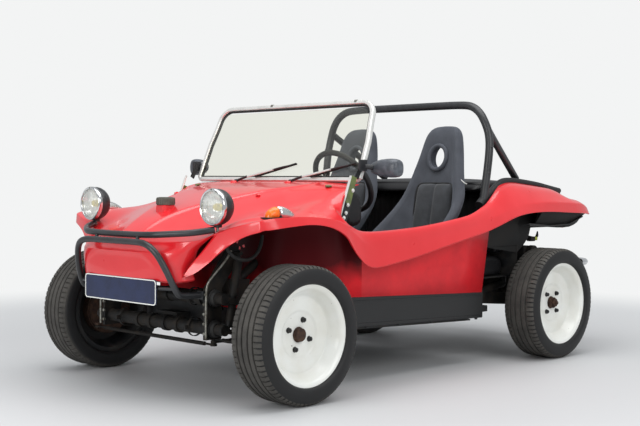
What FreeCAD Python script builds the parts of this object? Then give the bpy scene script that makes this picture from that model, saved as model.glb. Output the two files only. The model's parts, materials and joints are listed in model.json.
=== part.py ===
"""Fibreglass dune buggy on a shortened rear-engined floorpan, built as separate pieces.

Frame: +X forward, +Y to the buggy's left, +Z up, millimetres.
The origin lies on the ground under the middle of the whole buggy.
Lengths called "from the front axle" are positive forward.
"""
import FreeCAD, Part
import math
import os
import re

import Sketcher

os.makedirs("parts", exist_ok=True)
doc = FreeCAD.newDocument("DuneBuggy")

# ---------------------------------------------------------------------------------------
# Driving sizes
# ---------------------------------------------------------------------------------------
SIZES = (
    # alias, value in mm or degrees, meaning
    ("front_axle_x", 1054, "front axle ahead of the origin"),
    ("wheelbase", 1920, "front axle to rear axle"),
    ("tyre_radius", 293, "outside radius of the tyres"),
    ("tyre_half", 98, "half of the tyre's section width"),
    ("tread_half", 76, "half of the flat tread"),
    ("bead_radius", 190, "inside radius of the tyre bead"),
    ("tyre_wall", 15, "tread thickness"),
    ("front_wheel_y", 697.5, "front wheel centre plane from the middle"),
    ("rear_wheel_y", 683.5, "rear wheel centre plane from the middle"),
    ("rim_half", 82.5, "half of the rim's width over its flanges"),
    ("flange_radius", 207.5, "outside radius of the rim flange"),
    ("rim_wall", 5, "sheet thickness of the wheel"),
    ("well_radius", 169, "outside radius of the drop centre"),
    ("disc_out", 20, "wheel disc face outboard of the wheel centre plane"),
    ("disc_seat", 9, "bolting face of the wheel disc outboard of the wheel centre plane"),
    ("hub_hole", 33, "radius of the hole in the wheel disc"),
    ("seat_gap", 0.3, "gap between pieces that sit on each other"),
    ("fit_gap", 0.05, "radial clearance of a shaft in its bore"),
    ("drum_radius", 124, "outside radius of a brake drum"),
    ("drum_depth", 59, "brake drum from its bolting face to its open side"),
    ("spindle_radius", 15, "bore of the wheel hubs"),
    ("spindle_depth", 40, "bore depth in the drum"),
    ("plate_gap", 7.5, "brake backing plate to drum"),
    ("kingpin_y", 575, "kingpins from the middle"),
    ("kingpin_radius", 11, "kingpin radius"),
    ("arm_high_z", 393, "upper link pins above the ground"),
    ("arm_low_z", 255, "lower link pins above the ground"),
    ("eye_height", 26, "height of the kingpin eyes"),
    ("beam_x", 180, "axle beam ahead of the front axle"),
    ("beam_high_z", 433, "upper beam tube above the ground"),
    ("beam_low_z", 300, "lower beam tube above the ground"),
    ("beam_radius", 29, "radius of the beam tubes"),
    ("beam_half", 375, "half of the beam's length"),
    ("arm_y", 440, "suspension arms from the middle"),
    ("steer_arm", 115, "length of the steering arms"),
    ("steer_arm_z", 231, "height of the steering arms"),
    ("steer_arm_thick", 10, "thickness of the steering arms"),
    ("rod_radius", 9, "tie rod radius"),
    ("rod_eye", 15, "outside radius of the tie rod eyes"),
    ("rod_pin", 7, "radius of the tie rod pins"),
    ("rod_drop", 13, "tie rod above or below the steering arm"),
    ("pitman_y", 300, "steering box shaft from the middle"),
    ("column_tilt", 33, "slope of the steering column"),
    ("wheel_hub_back", 700, "steering wheel centre behind the front axle"),
    ("wheel_hub_y", 300, "steering wheel centre from the middle"),
    ("wheel_hub_z", 935, "steering wheel centre above the ground"),
    ("wheel_rim", 165, "radius of the steering wheel"),
    ("wheel_grip", 12, "radius of the steering wheel's grip"),
    ("shell_wall", 5, "thickness of the fibreglass body"),
    ("foot_wall_y", 440, "footwell side walls from the middle"),
    ("foot_front", 130, "footwell front behind the front axle"),
    ("pan_low", 262, "underside of the floorpan at its front"),
    ("pan_thick", 8, "floorpan thickness over its ribs"),
    ("rake", 1.9, "the floorpan and the sills sit nose up"),
    ("sill_height", 134, "height of the side box members"),
    ("sill_width", 80, "width of the side box members"),
    ("sill_outer", 600, "outside of the sills from the middle"),
    ("sill_front", 430, "front end of the sills behind the front axle"),
    ("sill_length", 1010, "length of the sills"),
    ("screen_foot_back", 509, "windscreen foot behind the front axle"),
    ("screen_foot_z", 933, "windscreen foot above the ground"),
    ("screen_height", 405, "windscreen height along its slope"),
    ("screen_low_half", 585, "half width of the screen at its foot"),
    ("screen_top_half", 560, "half width of the screen at its top"),
    ("screen_tilt", 21.5, "windscreen slope from upright"),
    ("frame_face", 28, "width of the screen frame seen from the front"),
    ("frame_deep", 24, "depth of the screen frame"),
    ("glass_thick", 6, "thickness of the glass"),
    ("bar_radius", 21, "roll bar tube radius"),
    ("push_radius", 14, "push bar tube radius"),
    ("lamp_radius", 78, "headlamp radius"),
    ("lamp_x", 248, "headlamp face ahead of the front axle"),
    ("lamp_y", 445, "headlamps from the middle"),
    ("lamp_z", 824, "headlamp centre above the ground"),
    ("plate_long", 520, "number plate length"),
    ("plate_tall", 110, "number plate height"),
    ("plate_x", 396, "number plate ahead of the front axle"),
    ("plate_z", 460, "number plate centre above the ground"),
    ("torsion_ahead", 400, "rear torsion tube ahead of the rear axle"),
    ("torsion_z", 330, "rear torsion tube above the ground"),
    ("seat_y", 305, "seat centres from the middle"),
    ("seat_half", 215, "half of a seat's width"),
    ("tail_back", 2530, "rear bumper tube behind the front axle"),
    ("bumper_radius", 20, "rear bumper tube radius"),
)

sheet = doc.addObject("Spreadsheet::Sheet", "Sizes")
for line, (alias, value, meaning) in enumerate(SIZES, start=1):
    sheet.set(f"A{line}", meaning)
    sheet.set(f"B{line}", str(value))
    sheet.setAlias(f"B{line}", alias)
doc.recompute()

LEFT = 1
RIGHT = -1
ALIASES = {row[0] for row in SIZES}
Vector = FreeCAD.Vector


def size(alias):
    """A driving size as a number, for shapes that code builds."""
    return float(sheet.get(alias))


def formula(text):
    """The same text with each driving size read from the sheet."""
    return re.sub(r"[a-z_]+", lambda word: f"Sizes.{word[0]}" if word[0] in ALIASES else word[0], text)


def bind(thing, **formulas):
    """Ties properties to the sheet; Base_x stands for Placement.Base.x."""
    for prop, text in formulas.items():
        path = f"Placement.Base.{prop[-1]}" if prop.startswith("Base_") else prop
        thing.setExpression(path, formula(str(text)))
    return thing


def turn(thing, axis, angle):
    thing.Placement = FreeCAD.Placement(thing.Placement.Base, FreeCAD.Rotation(axis, angle))
    return thing


X_AXIS = Vector(1, 0, 0)
Y_AXIS = Vector(0, 1, 0)
Z_AXIS = Vector(0, 0, 1)


def point(ahead, y, z):
    """A point given from the front axle, the middle and the ground."""
    return Vector(size("front_axle_x") + ahead, y, z)


# ---------------------------------------------------------------------------------------
# Ways of making a sub-part
# ---------------------------------------------------------------------------------------
finished = {}


def keep(label, thing):
    """Names a finished sub-part; its label is its file's name."""
    thing.Label = label
    finished[label] = thing
    return thing


def new_body(label):
    return doc.addObject("PartDesign::Body", label + "_body")


def outline(body, role, corners, lift=None):
    """A closed sketch on one of the body's own origin planes.

    Each corner is held by two formulas, across and up in the sketch.
    """
    plane = next(item for item in body.Origin.OriginFeatures if item.Role == role)
    sketch = body.newObject("Sketcher::SketchObject", body.Name + "_outline")
    sketch.AttachmentSupport = [(plane, "")]
    sketch.MapMode = "FlatFace"
    if lift is not None:
        sketch.setExpression("AttachmentOffset.Base.z", formula(str(lift)))
    count = len(corners)
    start = [Vector(100 * math.cos(math.tau * i / count), 100 * math.sin(math.tau * i / count), 0)
             for i in range(count)]
    for i in range(count):
        sketch.addGeometry(Part.LineSegment(start[i], start[(i + 1) % count]), False)
    for i in range(count):
        sketch.addConstraint(Sketcher.Constraint("Coincident", i, 2, (i + 1) % count, 1))
    for i, (across, up) in enumerate(corners):
        for kind, value, text in (("DistanceX", start[i].x, across), ("DistanceY", start[i].y, up)):
            index = sketch.addConstraint(Sketcher.Constraint(kind, -1, 1, i, 1, value))
            sketch.setExpression(f"Constraints[{index}]", formula(str(text)))
    return sketch


def revolved(label, corners):
    """A body turned about Y; corners give radius and place along the axle."""
    body = new_body(label)
    sketch = outline(body, "XY_Plane", corners)
    spin = body.newObject("PartDesign::Revolution", body.Name + "_turned")
    spin.Profile = sketch
    spin.ReferenceAxis = (sketch, ["V_Axis"])
    spin.Angle = 360
    body.Tip = spin
    return body


def padded(label, role, corners, length, midplane=False, lift=None):
    """A body padded from one outline."""
    body = new_body(label)
    sketch = outline(body, role, corners, lift)
    pad = body.newObject("PartDesign::Pad", body.Name + "_pad")
    pad.Profile = sketch
    pad.setExpression("Length", formula(str(length)))
    pad.Midplane = midplane
    body.Tip = pad
    return body


def box(ahead, y, z, length, width, height):
    """A block; its place is its low corner, ahead counted from the front axle."""
    block = doc.addObject("Part::Box", "Block")
    bind(block, Length=length, Width=width, Height=height)
    bind(block, Base_x=f"front_axle_x + {ahead}", Base_y=y, Base_z=z)
    return block


def rod(ahead, y, z, radius, length, along):
    """A round bar that starts at a point and runs along one axis."""
    bar = doc.addObject("Part::Cylinder", "Bar")
    bind(bar, Radius=radius, Height=length)
    bind(bar, Base_x=f"front_axle_x + {ahead}", Base_y=y, Base_z=z)
    if along == "x":
        turn(bar, Y_AXIS, 90)
    if along == "y":
        turn(bar, X_AXIS, -90)
    return bar


def fused(*pieces):
    whole = doc.addObject("Part::MultiFuse", "Joined")
    whole.Shapes = list(pieces)
    return whole


def less(base, *tools):
    cut = doc.addObject("Part::Cut", "Trimmed")
    cut.Base = base
    cut.Tool = tools[0] if len(tools) == 1 else fused(*tools)
    return cut


def mirrored(source):
    """The same piece on the buggy's other side."""
    other = doc.addObject("Part::Mirroring", "Mirrored")
    other.Source = source
    other.Base = Vector(0, 0, 0)
    other.Normal = Y_AXIS
    return other


def together(*pieces):
    """Like pieces that share a node."""
    group = doc.addObject("Part::Compound", "Set")
    group.Links = list(pieces)
    return group


def shaped(shape):
    """A piece whose shape the code below makes from Part's own functions."""
    thing = doc.addObject("Part::Feature", "Shaped")
    thing.Shape = shape
    thing.Placement = FreeCAD.Placement()
    return thing


STRAIGHT = 0.001


def tube(points, radius, bend):
    """A round bar bent through the points, each corner an arc of the bend radius."""
    edges = []
    start = points[0]
    for before, corner, after in zip(points, points[1:], points[2:]):
        back = (before - corner).normalize()
        ahead = (after - corner).normalize()
        half = back.getAngle(ahead) / 2
        if math.pi / 2 - half < STRAIGHT:
            continue
        reach = bend / math.tan(half)
        first = corner + back * reach
        last = corner + ahead * reach
        middle_way = (back + ahead).normalize()
        middle = corner + middle_way * (bend / math.sin(half) - bend)
        edges.append(Part.LineSegment(start, first).toShape())
        edges.append(Part.Arc(first, middle, last).toShape())
        start = last
    edges.append(Part.LineSegment(start, points[-1]).toShape())
    ring = Part.Wire(Part.Circle(points[0], points[1] - points[0], radius).toShape())
    return Part.Wire(edges).makePipeShell([ring], True, False)


def bar(start, end, radius):
    """A straight round bar between two points."""
    return Part.makeCylinder(radius, (end - start).Length, start, end - start)


def facet(a, b, c):
    return Part.Face(Part.makePolygon([a, b, c, a]))


def heading(line, i):
    """Direction of a line of points at its point i, both neighbours counted alike."""
    steps = [after - before for before, after in zip(line[max(i - 1, 0):], line[max(i - 1, 0) + 1:i + 2])]
    return sum((step.normalize() for step in steps), Vector())


def panel(rows, inside, wall):
    """A moulded wall through rows of outer points, its thickness laid towards a point inside."""
    tall = len(rows)
    wide = len(rows[0])
    normals = []
    lean = 0
    for i in range(tall):
        normals.append([])
        for j in range(wide):
            along = heading([row[j] for row in rows], i)
            across = heading(rows[i], j)
            normals[i].append(along.cross(across).normalize())
            lean += normals[i][j].dot(inside - rows[i][j])
    depth = math.copysign(wall, lean)
    inner = [[rows[i][j] + normals[i][j] * depth for j in range(wide)] for i in range(tall)]
    faces = []
    for i in range(tall - 1):
        for j in range(wide - 1):
            for skin in (rows, inner):
                faces.append(facet(skin[i][j], skin[i + 1][j], skin[i + 1][j + 1]))
                faces.append(facet(skin[i][j], skin[i + 1][j + 1], skin[i][j + 1]))
    rim = [(i, 0) for i in range(tall)] + [(tall - 1, j) for j in range(1, wide)]
    rim += [(i, wide - 1) for i in range(tall - 2, -1, -1)] + [(0, j) for j in range(wide - 2, 0, -1)]
    for (i, j), (k, m) in zip(rim, rim[1:] + rim[:1]):
        faces.append(facet(rows[i][j], rows[k][m], inner[k][m]))
        faces.append(facet(rows[i][j], inner[k][m], inner[i][j]))
    solid = Part.makeSolid(Part.makeShell(faces))
    solid.fix(0.001, 0.001, 0.001)
    if solid.Volume < 0:
        solid.reverse()
    return solid


def block(ahead, y, z, length, width, height):
    """A plain block for shapes that code joins."""
    return Part.makeBox(length, width, height, point(ahead, y, z))


# ---------------------------------------------------------------------------------------
# Wheels: tyre, pressed steel wheel and brake drum at each corner
# ---------------------------------------------------------------------------------------
CORNERS = (
    # name, side, axle place, wheel centre plane
    ("front_left", LEFT, "front_axle_x", "front_wheel_y"),
    ("front_right", RIGHT, "front_axle_x", "front_wheel_y"),
    ("rear_left", LEFT, "front_axle_x - wheelbase", "rear_wheel_y"),
    ("rear_right", RIGHT, "front_axle_x - wheelbase", "rear_wheel_y"),
)

TYRE = (
    # radius, outboard
    ("bead_radius", "rim_half - 10.5"),
    ("flange_radius + 1", "rim_half - 6"),
    ("flange_radius + 5", "tyre_half - 8"),
    ("flange_radius + 30", "tyre_half"),
    ("tyre_radius - 22", "tyre_half - 5"),
    ("tyre_radius - 4", "tread_half + 8"),
    ("tyre_radius", "tread_half"),
    ("tyre_radius", "-tread_half"),
    ("tyre_radius - 4", "-tread_half - 8"),
    ("tyre_radius - 22", "-tyre_half + 5"),
    ("flange_radius + 30", "-tyre_half"),
    ("flange_radius + 5", "-tyre_half + 8"),
    ("flange_radius + 1", "-rim_half + 6"),
    ("bead_radius", "-rim_half + 10.5"),
    ("bead_radius", "-rim_half + 24"),
    ("flange_radius + 20", "-tyre_half + 12"),
    ("tyre_radius - tyre_wall", "-tread_half + 8"),
    ("tyre_radius - tyre_wall", "tread_half - 8"),
    ("flange_radius + 20", "tyre_half - 12"),
    ("bead_radius", "rim_half - 24"),
)

RIM = (
    # radius, outboard: the flange and barrel from outside to inside, then back along the disc
    ("flange_radius", "rim_half"),
    ("flange_radius", "rim_half - rim_wall"),
    ("bead_radius - seat_gap", "rim_half - rim_wall"),
    ("bead_radius - seat_gap", "rim_half - 30"),
    ("well_radius", "rim_half - 42"),
    ("well_radius", "-rim_half + 62"),
    ("bead_radius - seat_gap", "-rim_half + 30"),
    ("bead_radius - seat_gap", "-rim_half + rim_wall"),
    ("flange_radius", "-rim_half + rim_wall"),
    ("flange_radius", "-rim_half"),
    ("bead_radius - rim_wall", "-rim_half"),
    ("bead_radius - rim_wall", "-rim_half + 28"),
    ("well_radius - rim_wall", "-rim_half + 60"),
    ("well_radius - rim_wall", "disc_out - 2 * rim_wall + 2"),
    ("150", "disc_out - rim_wall"),
    ("101", "disc_out - rim_wall"),
    ("93", "disc_seat"),
    ("hub_hole", "disc_seat"),
    ("hub_hole", "disc_seat + rim_wall"),
    ("95", "disc_seat + rim_wall"),
    ("105", "disc_out"),
    ("150", "disc_out"),
    ("well_radius - rim_wall", "disc_out - 3"),
    ("well_radius - rim_wall", "rim_half - 40"),
    ("bead_radius - rim_wall", "rim_half - 28"),
    ("bead_radius - rim_wall", "rim_half"),
)

DRUM = (
    # radius, outboard: the hub's nose passes the wheel disc, the bore takes the spindle
    ("0", "disc_seat + 21"),
    ("hub_hole - 5", "disc_seat + 21"),
    ("hub_hole - 5", "disc_seat"),
    ("88", "disc_seat"),
    ("drum_radius - 8", "disc_seat - 10"),
    ("drum_radius", "disc_seat - 18"),
    ("drum_radius", "disc_seat - drum_depth"),
    ("spindle_radius", "disc_seat - drum_depth"),
    ("spindle_radius", "disc_seat - drum_depth + spindle_depth"),
    ("0", "disc_seat - drum_depth + spindle_depth"),
)

for name, side, axle, wheel_y in CORNERS:
    for piece, profile in (("tyre", TYRE), ("rim", RIM), ("drum", DRUM)):
        sided = [(radius, f"{side} * ({outboard})") for radius, outboard in profile]
        body = revolved(f"{piece}_{name}", sided)
        bind(body, Base_x=axle, Base_y=f"{side} * {wheel_y}", Base_z="tyre_radius")
        keep(f"{piece}_{name}", body)

# ---------------------------------------------------------------------------------------
# Front axle: twin tube beam, trailing arms, dampers, knuckles and tie rods
# ---------------------------------------------------------------------------------------
TOWER = (
    # ahead of the front axle, above the ground: end plate with the damper tower above it
    ("front_axle_x + beam_x - 45", "beam_low_z - 45"),
    ("front_axle_x + beam_x + 45", "beam_low_z - 45"),
    ("front_axle_x + beam_x + 45", "beam_high_z + 42"),
    ("front_axle_x + 95", "650"),
    ("front_axle_x + 35", "650"),
    ("front_axle_x + 35", "600"),
    ("front_axle_x + beam_x - 45", "beam_high_z + 37"),
)
tower = padded("tower", "XZ_Plane", TOWER, 16)
bind(tower, Base_y="beam_half")
BEAM_RINGS = (-150, -60, 45, 135)
RING_WIDE = 26
beam = fused(
    rod("beam_x", "-beam_half + 8", "beam_high_z", "beam_radius", "2 * beam_half - 16", "y"),
    rod("beam_x", "-beam_half + 8", "beam_low_z", "beam_radius", "2 * beam_half - 16", "y"),
    tower,
    mirrored(tower),
    *[rod("beam_x", y, "beam_low_z", "beam_radius + 7", RING_WIDE, "y") for y in BEAM_RINGS],
    *[rod("beam_x", y, "beam_high_z", "beam_radius + 5", RING_WIDE, "y") for y in (-90, 64)],
)
keep("front_beam", beam)


def link_arm(beam_z, pin_z):
    """One trailing arm: boot at the beam, flat bar, link pin and the kingpin's eye."""
    beam_end = point(size("beam_x"), size("beam_half") + 0.3, beam_z)
    arm_y = size("arm_y")
    tall = 22
    thick = 24
    boot = bar(beam_end, Vector(beam_end.x, arm_y + thick / 2, beam_z), 24)
    head = Vector(beam_end.x, arm_y - thick / 2, beam_z)
    foot = point(0, arm_y - thick / 2, pin_z)
    half = Vector(0, 0, tall / 2)
    side = Part.Face(Part.makePolygon([head + half, foot + half, foot - half, head - half, head + half]))
    flat_bar = side.extrude(Vector(0, thick, 0))
    boss = bar(foot, foot + Vector(0, thick, 0), 19)
    king_y = size("kingpin_y")
    pin = bar(foot, point(0, king_y - 12, pin_z), 12)
    tall_eye = size("eye_height")
    eye = Part.makeCylinder(24, tall_eye, point(0, king_y, pin_z - tall_eye / 2))
    hole = Part.makeCylinder(size("kingpin_radius") + size("fit_gap"), 2 * tall_eye,
                             point(0, king_y, pin_z - tall_eye))
    return boot.fuse([flat_bar, boss, pin, eye]).cut(hole)


upper_arm = shaped(link_arm(size("beam_high_z"), size("arm_high_z")))
lower_arm = shaped(link_arm(size("beam_low_z"), size("arm_low_z")))
keep("front_arms", together(upper_arm, lower_arm, mirrored(upper_arm), mirrored(lower_arm)))

DAMPER_Y = 405
DAMPER_TOP = (62, 622)
DAMPER_FOOT = (125, 288)


def front_damper():
    """Telescopic damper: eye at the tower, wide top tube, thin foot on the lower arm's inner side."""
    top = point(DAMPER_TOP[0], DAMPER_Y, DAMPER_TOP[1])
    foot = point(DAMPER_FOOT[0], DAMPER_Y, DAMPER_FOOT[1])
    way = foot - top
    tower_side = size("beam_half") + 0.3
    arm_side = size("arm_y") - 12 - 0.3
    top_pin = bar(Vector(top.x, tower_side, top.z), Vector(top.x, DAMPER_Y + 12, top.z), 9)
    foot_pin = bar(Vector(foot.x, DAMPER_Y - 12, foot.z), Vector(foot.x, arm_side, foot.z), 9)
    cover = bar(top + way * 0.08, top + way * 0.55, 20)
    body_tube = bar(top + way * 0.5, top + way * 0.95, 16)
    ends = [bar(top, top + way * 0.1, 8), bar(top + way * 0.93, foot, 8)]
    return top_pin.fuse([foot_pin, cover, body_tube] + ends)


damper = shaped(front_damper())
keep("front_dampers", together(damper, mirrored(damper)))

BRAKE_PLATE = 118
for name, side in (("left", LEFT), ("right", RIGHT)):
    king_y = size("kingpin_y")
    axle_z = size("tyre_radius")
    pin_gap = size("fit_gap")
    back_of_drum = size("front_wheel_y") + size("disc_seat") - size("drum_depth")
    plate_y = back_of_drum - size("plate_gap")
    arm_z = size("steer_arm_z")
    arm_thick = size("steer_arm_thick")
    eye_half = size("eye_height") / 2
    kingpin = Part.makeCylinder(size("kingpin_radius"), size("arm_high_z") + eye_half + 4 - arm_z,
                                point(0, king_y, arm_z))
    low = size("arm_low_z") + eye_half + 5
    high = size("arm_high_z") - eye_half - 5
    carrier = Part.makeCylinder(20, high - low, point(0, king_y, low))
    shoulder = bar(point(0, king_y, axle_z), point(0, plate_y, axle_z), 17)
    back_plate = bar(point(0, plate_y - 6, axle_z), point(0, plate_y, axle_z), BRAKE_PLATE)
    spindle = bar(point(0, king_y, axle_z), point(0, back_of_drum + size("spindle_depth") - 3, axle_z),
                  size("spindle_radius") - pin_gap)
    arm_bar = block(-20, king_y - 14, arm_z - arm_thick / 2, size("steer_arm") + 20, 28, arm_thick)
    arm_end = Part.makeCylinder(14, arm_thick, point(size("steer_arm"), king_y, arm_z - arm_thick / 2))
    pin_low = arm_z if side == LEFT else arm_z - size("rod_drop") - 6
    rod_pin = Part.makeCylinder(size("rod_pin"), size("rod_drop") + 6,
                                point(size("steer_arm"), king_y, pin_low))
    whole = kingpin.fuse([carrier, shoulder, back_plate, spindle, arm_bar, arm_end, rod_pin])
    if side == RIGHT:
        whole = whole.mirror(Vector(0, 0, 0), Y_AXIS)
    keep(f"knuckle_{name}", shaped(whole))


def rod_eye(y, z):
    tall = 10
    reach = size("steer_arm")
    ring = Part.makeCylinder(size("rod_eye"), tall, point(reach, y, z - tall / 2))
    return ring, Part.makeCylinder(size("rod_pin") + size("fit_gap"), 2 * tall, point(reach, y, z - tall))


for name, side in (("left", LEFT), ("right", RIGHT)):
    rod_z = size("steer_arm_z") + side * size("rod_drop")
    inner_y = size("pitman_y")
    outer_y = side * size("kingpin_y")
    ring_in, hole_in = rod_eye(inner_y, rod_z)
    ring_out, hole_out = rod_eye(outer_y, rod_z)
    shank = bar(point(size("steer_arm"), inner_y + side * 10, rod_z),
                point(size("steer_arm"), outer_y - side * 10, rod_z), size("rod_radius") - 4)
    sleeve = bar(point(size("steer_arm"), inner_y + side * 60, rod_z),
                 point(size("steer_arm"), outer_y - side * 60, rod_z), size("rod_radius"))
    keep(f"tie_rod_{name}", shaped(ring_in.fuse([ring_out, shank, sleeve]).cut([hole_in, hole_out])))

# ---------------------------------------------------------------------------------------
# Steering: box on the beam, drop arm, column and wheel
# ---------------------------------------------------------------------------------------
COLUMN_RADIUS = 19
column_lean = math.radians(size("column_tilt"))
column_way = Vector(math.cos(column_lean), 0, -math.sin(column_lean))
hub_point = point(-size("wheel_hub_back"), size("wheel_hub_y"), size("wheel_hub_z"))
box_low = 388
box_house = block(-60, size("pitman_y") - 38, box_low, 130, 76, 112)
box_arm = block(60, size("pitman_y") - 20, size("beam_high_z") - 18, size("beam_x") - 60, 40, 36)
box_clamp = bar(point(size("beam_x"), size("pitman_y") - 20, size("beam_high_z")),
                point(size("beam_x"), size("pitman_y") + 20, size("beam_high_z")), size("beam_radius") + 8)
beam_hole = bar(point(size("beam_x"), size("pitman_y") - 60, size("beam_high_z")),
                point(size("beam_x"), size("pitman_y") + 60, size("beam_high_z")),
                size("beam_radius") + size("seat_gap"))
SHAFT_RADIUS = 10
shaft_hole = Part.makeCylinder(SHAFT_RADIUS + size("fit_gap"), 40, point(0, size("pitman_y"), box_low - 10))
column_top = hub_point + column_way * 60
column_foot = hub_point + column_way * (size("wheel_hub_back") / column_way.x)
column = bar(column_top, column_foot, COLUMN_RADIUS)
column_hole = bar(hub_point, column_foot + column_way * 100, COLUMN_RADIUS + 4)
steering_box = box_house.fuse([box_arm, box_clamp, column]).cut([beam_hole, shaft_hole])
keep("steering_column", shaped(steering_box))

arm_z = size("steer_arm_z")
arm_thick = size("steer_arm_thick")
drop_shaft = Part.makeCylinder(SHAFT_RADIUS, box_low + 25 - arm_z, point(0, size("pitman_y"), arm_z))
drop_bar = block(0, size("pitman_y") - 14, arm_z - arm_thick / 2, size("steer_arm"), 28, arm_thick)
drop_low = arm_z - arm_thick / 2
drop_ends = [Part.makeCylinder(18, arm_thick, point(0, size("pitman_y"), drop_low)),
             Part.makeCylinder(14, arm_thick, point(size("steer_arm"), size("pitman_y"), drop_low))]
reach_pin = size("rod_drop") + 6
drop_pin = Part.makeCylinder(size("rod_pin"), 2 * reach_pin,
                             point(size("steer_arm"), size("pitman_y"), arm_z - reach_pin))
keep("pitman_arm", shaped(drop_shaft.fuse([drop_bar, drop_pin] + drop_ends)))

SPOKES = 3
rim_ring = Part.makeTorus(size("wheel_rim"), size("wheel_grip"))
hub_disc = Part.makeCylinder(34, 30, Vector(0, 0, -34))
hub_shaft = Part.makeCylinder(12, 40, Vector(0, 0, -60 + 0.3))
wheel_parts = [hub_disc, hub_shaft]
for spoke in range(SPOKES):
    arm = Part.makeBox(size("wheel_rim") - 2, 26, 4, Vector(0, -13, -8))
    arm.rotate(Vector(0, 0, 0), Z_AXIS, 360 / SPOKES * spoke - 90)
    wheel_parts.append(arm)
steering_wheel = shaped(rim_ring.fuse(wheel_parts))
steering_wheel.Placement = FreeCAD.Placement(hub_point, FreeCAD.Rotation(Z_AXIS, column_way * -1))
keep("steering_wheel", steering_wheel)

# ---------------------------------------------------------------------------------------
# Floorpan with its tunnel, box sills, pedals and levers
# ---------------------------------------------------------------------------------------
PAN_LENGTH = 1310
TUNNEL_LENGTH = 1341.5
TUNNEL_HALF = 75
TUNNEL_TALL = 120


def raked(thing):
    """Tilts a piece nose up about the floorpan's front edge."""
    pivot = point(-size("foot_front"), 0, size("pan_low"))
    thing.Placement = FreeCAD.Placement(Vector(0, 0, 0), FreeCAD.Rotation(Y_AXIS, -size("rake")), pivot)
    return thing


pan_front = -size("foot_front")
pan_half = size("sill_outer") - size("sill_width") - size("seat_gap")
pan_shoulder = -size("sill_front")
pan_corners = [point(ahead, y, size("pan_low")) for ahead, y in (
    (pan_front, -size("foot_wall_y")), (pan_shoulder, -size("foot_wall_y")), (pan_shoulder, -pan_half),
    (pan_front - PAN_LENGTH, -pan_half), (pan_front - PAN_LENGTH, pan_half), (pan_shoulder, pan_half),
    (pan_shoulder, size("foot_wall_y")), (pan_front, size("foot_wall_y")))]
pan = Part.Face(Part.makePolygon(pan_corners + pan_corners[:1])).extrude(Z_AXIS * size("pan_thick"))
tunnel = block(pan_front - TUNNEL_LENGTH, -TUNNEL_HALF, size("pan_low"), TUNNEL_LENGTH, 2 * TUNNEL_HALF,
               TUNNEL_TALL)
frame_head = block(pan_front - 5, -TUNNEL_HALF, size("pan_low") + 12,
                   size("foot_front") + size("beam_x") - size("beam_radius") - 1.2, 2 * TUNNEL_HALF, 60)
keep("floorpan", raked(shaped(pan.fuse([tunnel, frame_head]).removeSplitter())))

sill = shaped(block(-size("sill_front") - size("sill_length"), size("sill_outer") - size("sill_width"),
                    size("pan_low") + 6, size("sill_length"), size("sill_width"), size("sill_height")))
raked(sill)
keep("sills", together(sill, mirrored(sill)))

tunnel_top = size("pan_low") + TUNNEL_TALL + size("seat_gap")
gear_foot = point(-620, 0, tunnel_top)
gear_stick = bar(gear_foot + Vector(0, 0, 5), gear_foot + Vector(-60, 0, 250), 7)
gear_knob = Part.makeSphere(22, gear_foot + Vector(-62, 0, 262))
brake_foot = point(-900, 0, tunnel_top)
brake_base = Part.makeBox(90, 60, 40, brake_foot + Vector(-45, -30, 0))
brake_stick = bar(brake_foot + Vector(0, 0, 25), brake_foot + Vector(180, 0, 150), 9)
gear_boot = Part.makeCone(42, 16, 50, gear_foot)
keep("levers", together(raked(shaped(gear_stick.fuse([gear_knob, gear_boot]))),
                        raked(shaped(brake_base.fuse(brake_stick)))))

# ---------------------------------------------------------------------------------------
# Fibreglass body: hood, front fenders, side panels, rear fenders and tail
# ---------------------------------------------------------------------------------------
WALL = size("shell_wall")

HOOD_RIBS = (
    # ahead at the middle and at the seam with the fender; height at the middle; half width and
    # height at the raised panel's crease, at the shoulder and at the seam
    (372, 282, 674, 66, 674, 205, 673, 405, 682),
    (345, 211, 703, 68, 702, 208, 692, 400, 695),
    (300, 184, 733, 74, 731, 215, 709, 400, 706),
    (250, 152, 765, 82, 763, 226, 727, 410, 719),
    (190, 113, 793, 100, 790, 238, 750, 432, 740),
    (100, 70, 827, 133, 823, 264, 788, 435, 762),
    (0, 0, 852, 170, 846, 300, 822, 435, 788),
    (-120, -120, 884, 230, 878, 350, 850, 455, 815),
    (-250, -250, 908, 290, 902, 400, 880, 500, 848),
    (-360, -360, 918, 335, 913, 450, 895, 545, 866),
    (-450, -450, 924, 360, 918, 470, 906, 565, 880),
    (-520, -520, 928, 375, 922, 480, 912, 570, 890),
)
# How far of the way back to the seam the crease, the shoulder and the seam are.
HOOD_SWEEP = (0, 0.06, 1)
NOSE_RIBS = (
    # the front face below the brow: ahead and height at the middle, then half width with its
    # own place ahead and height
    (410, 628, 371, 310, 630),
    (405, 575, 349, 327, 574),
    (378, 505, 342, 312, 503),
)


def pairs(numbers):
    """Half width and height, two by two."""
    return zip(numbers[0::2], numbers[1::2])


def full_row(half):
    """Mirrors a half row of outer points, middle first, to the other side."""
    return [Vector(p.x, -p.y, p.z) for p in reversed(half[1:])] + half


hood_rows = []
for ahead, height, side_wide, side_ahead, side_height in reversed(NOSE_RIBS):
    across = [point(ahead, 0, height)]
    for share in (0.35, 0.75):
        across.append(point(ahead + (side_ahead - ahead) * share ** 3, side_wide * share, height))
    across.append(point(side_ahead, side_wide, side_height))
    hood_rows.append(full_row(across))
for ahead, seam_ahead, height, *numbers in HOOD_RIBS:
    half = [point(ahead, 0, height)]
    for share, (y, z) in zip(HOOD_SWEEP, pairs(numbers)):
        half.append(point(ahead + (seam_ahead - ahead) * share, y, z))
    hood_rows.append(full_row(half))
keep("hood", shaped(panel(hood_rows, point(0, 0, 350), WALL)))

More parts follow.
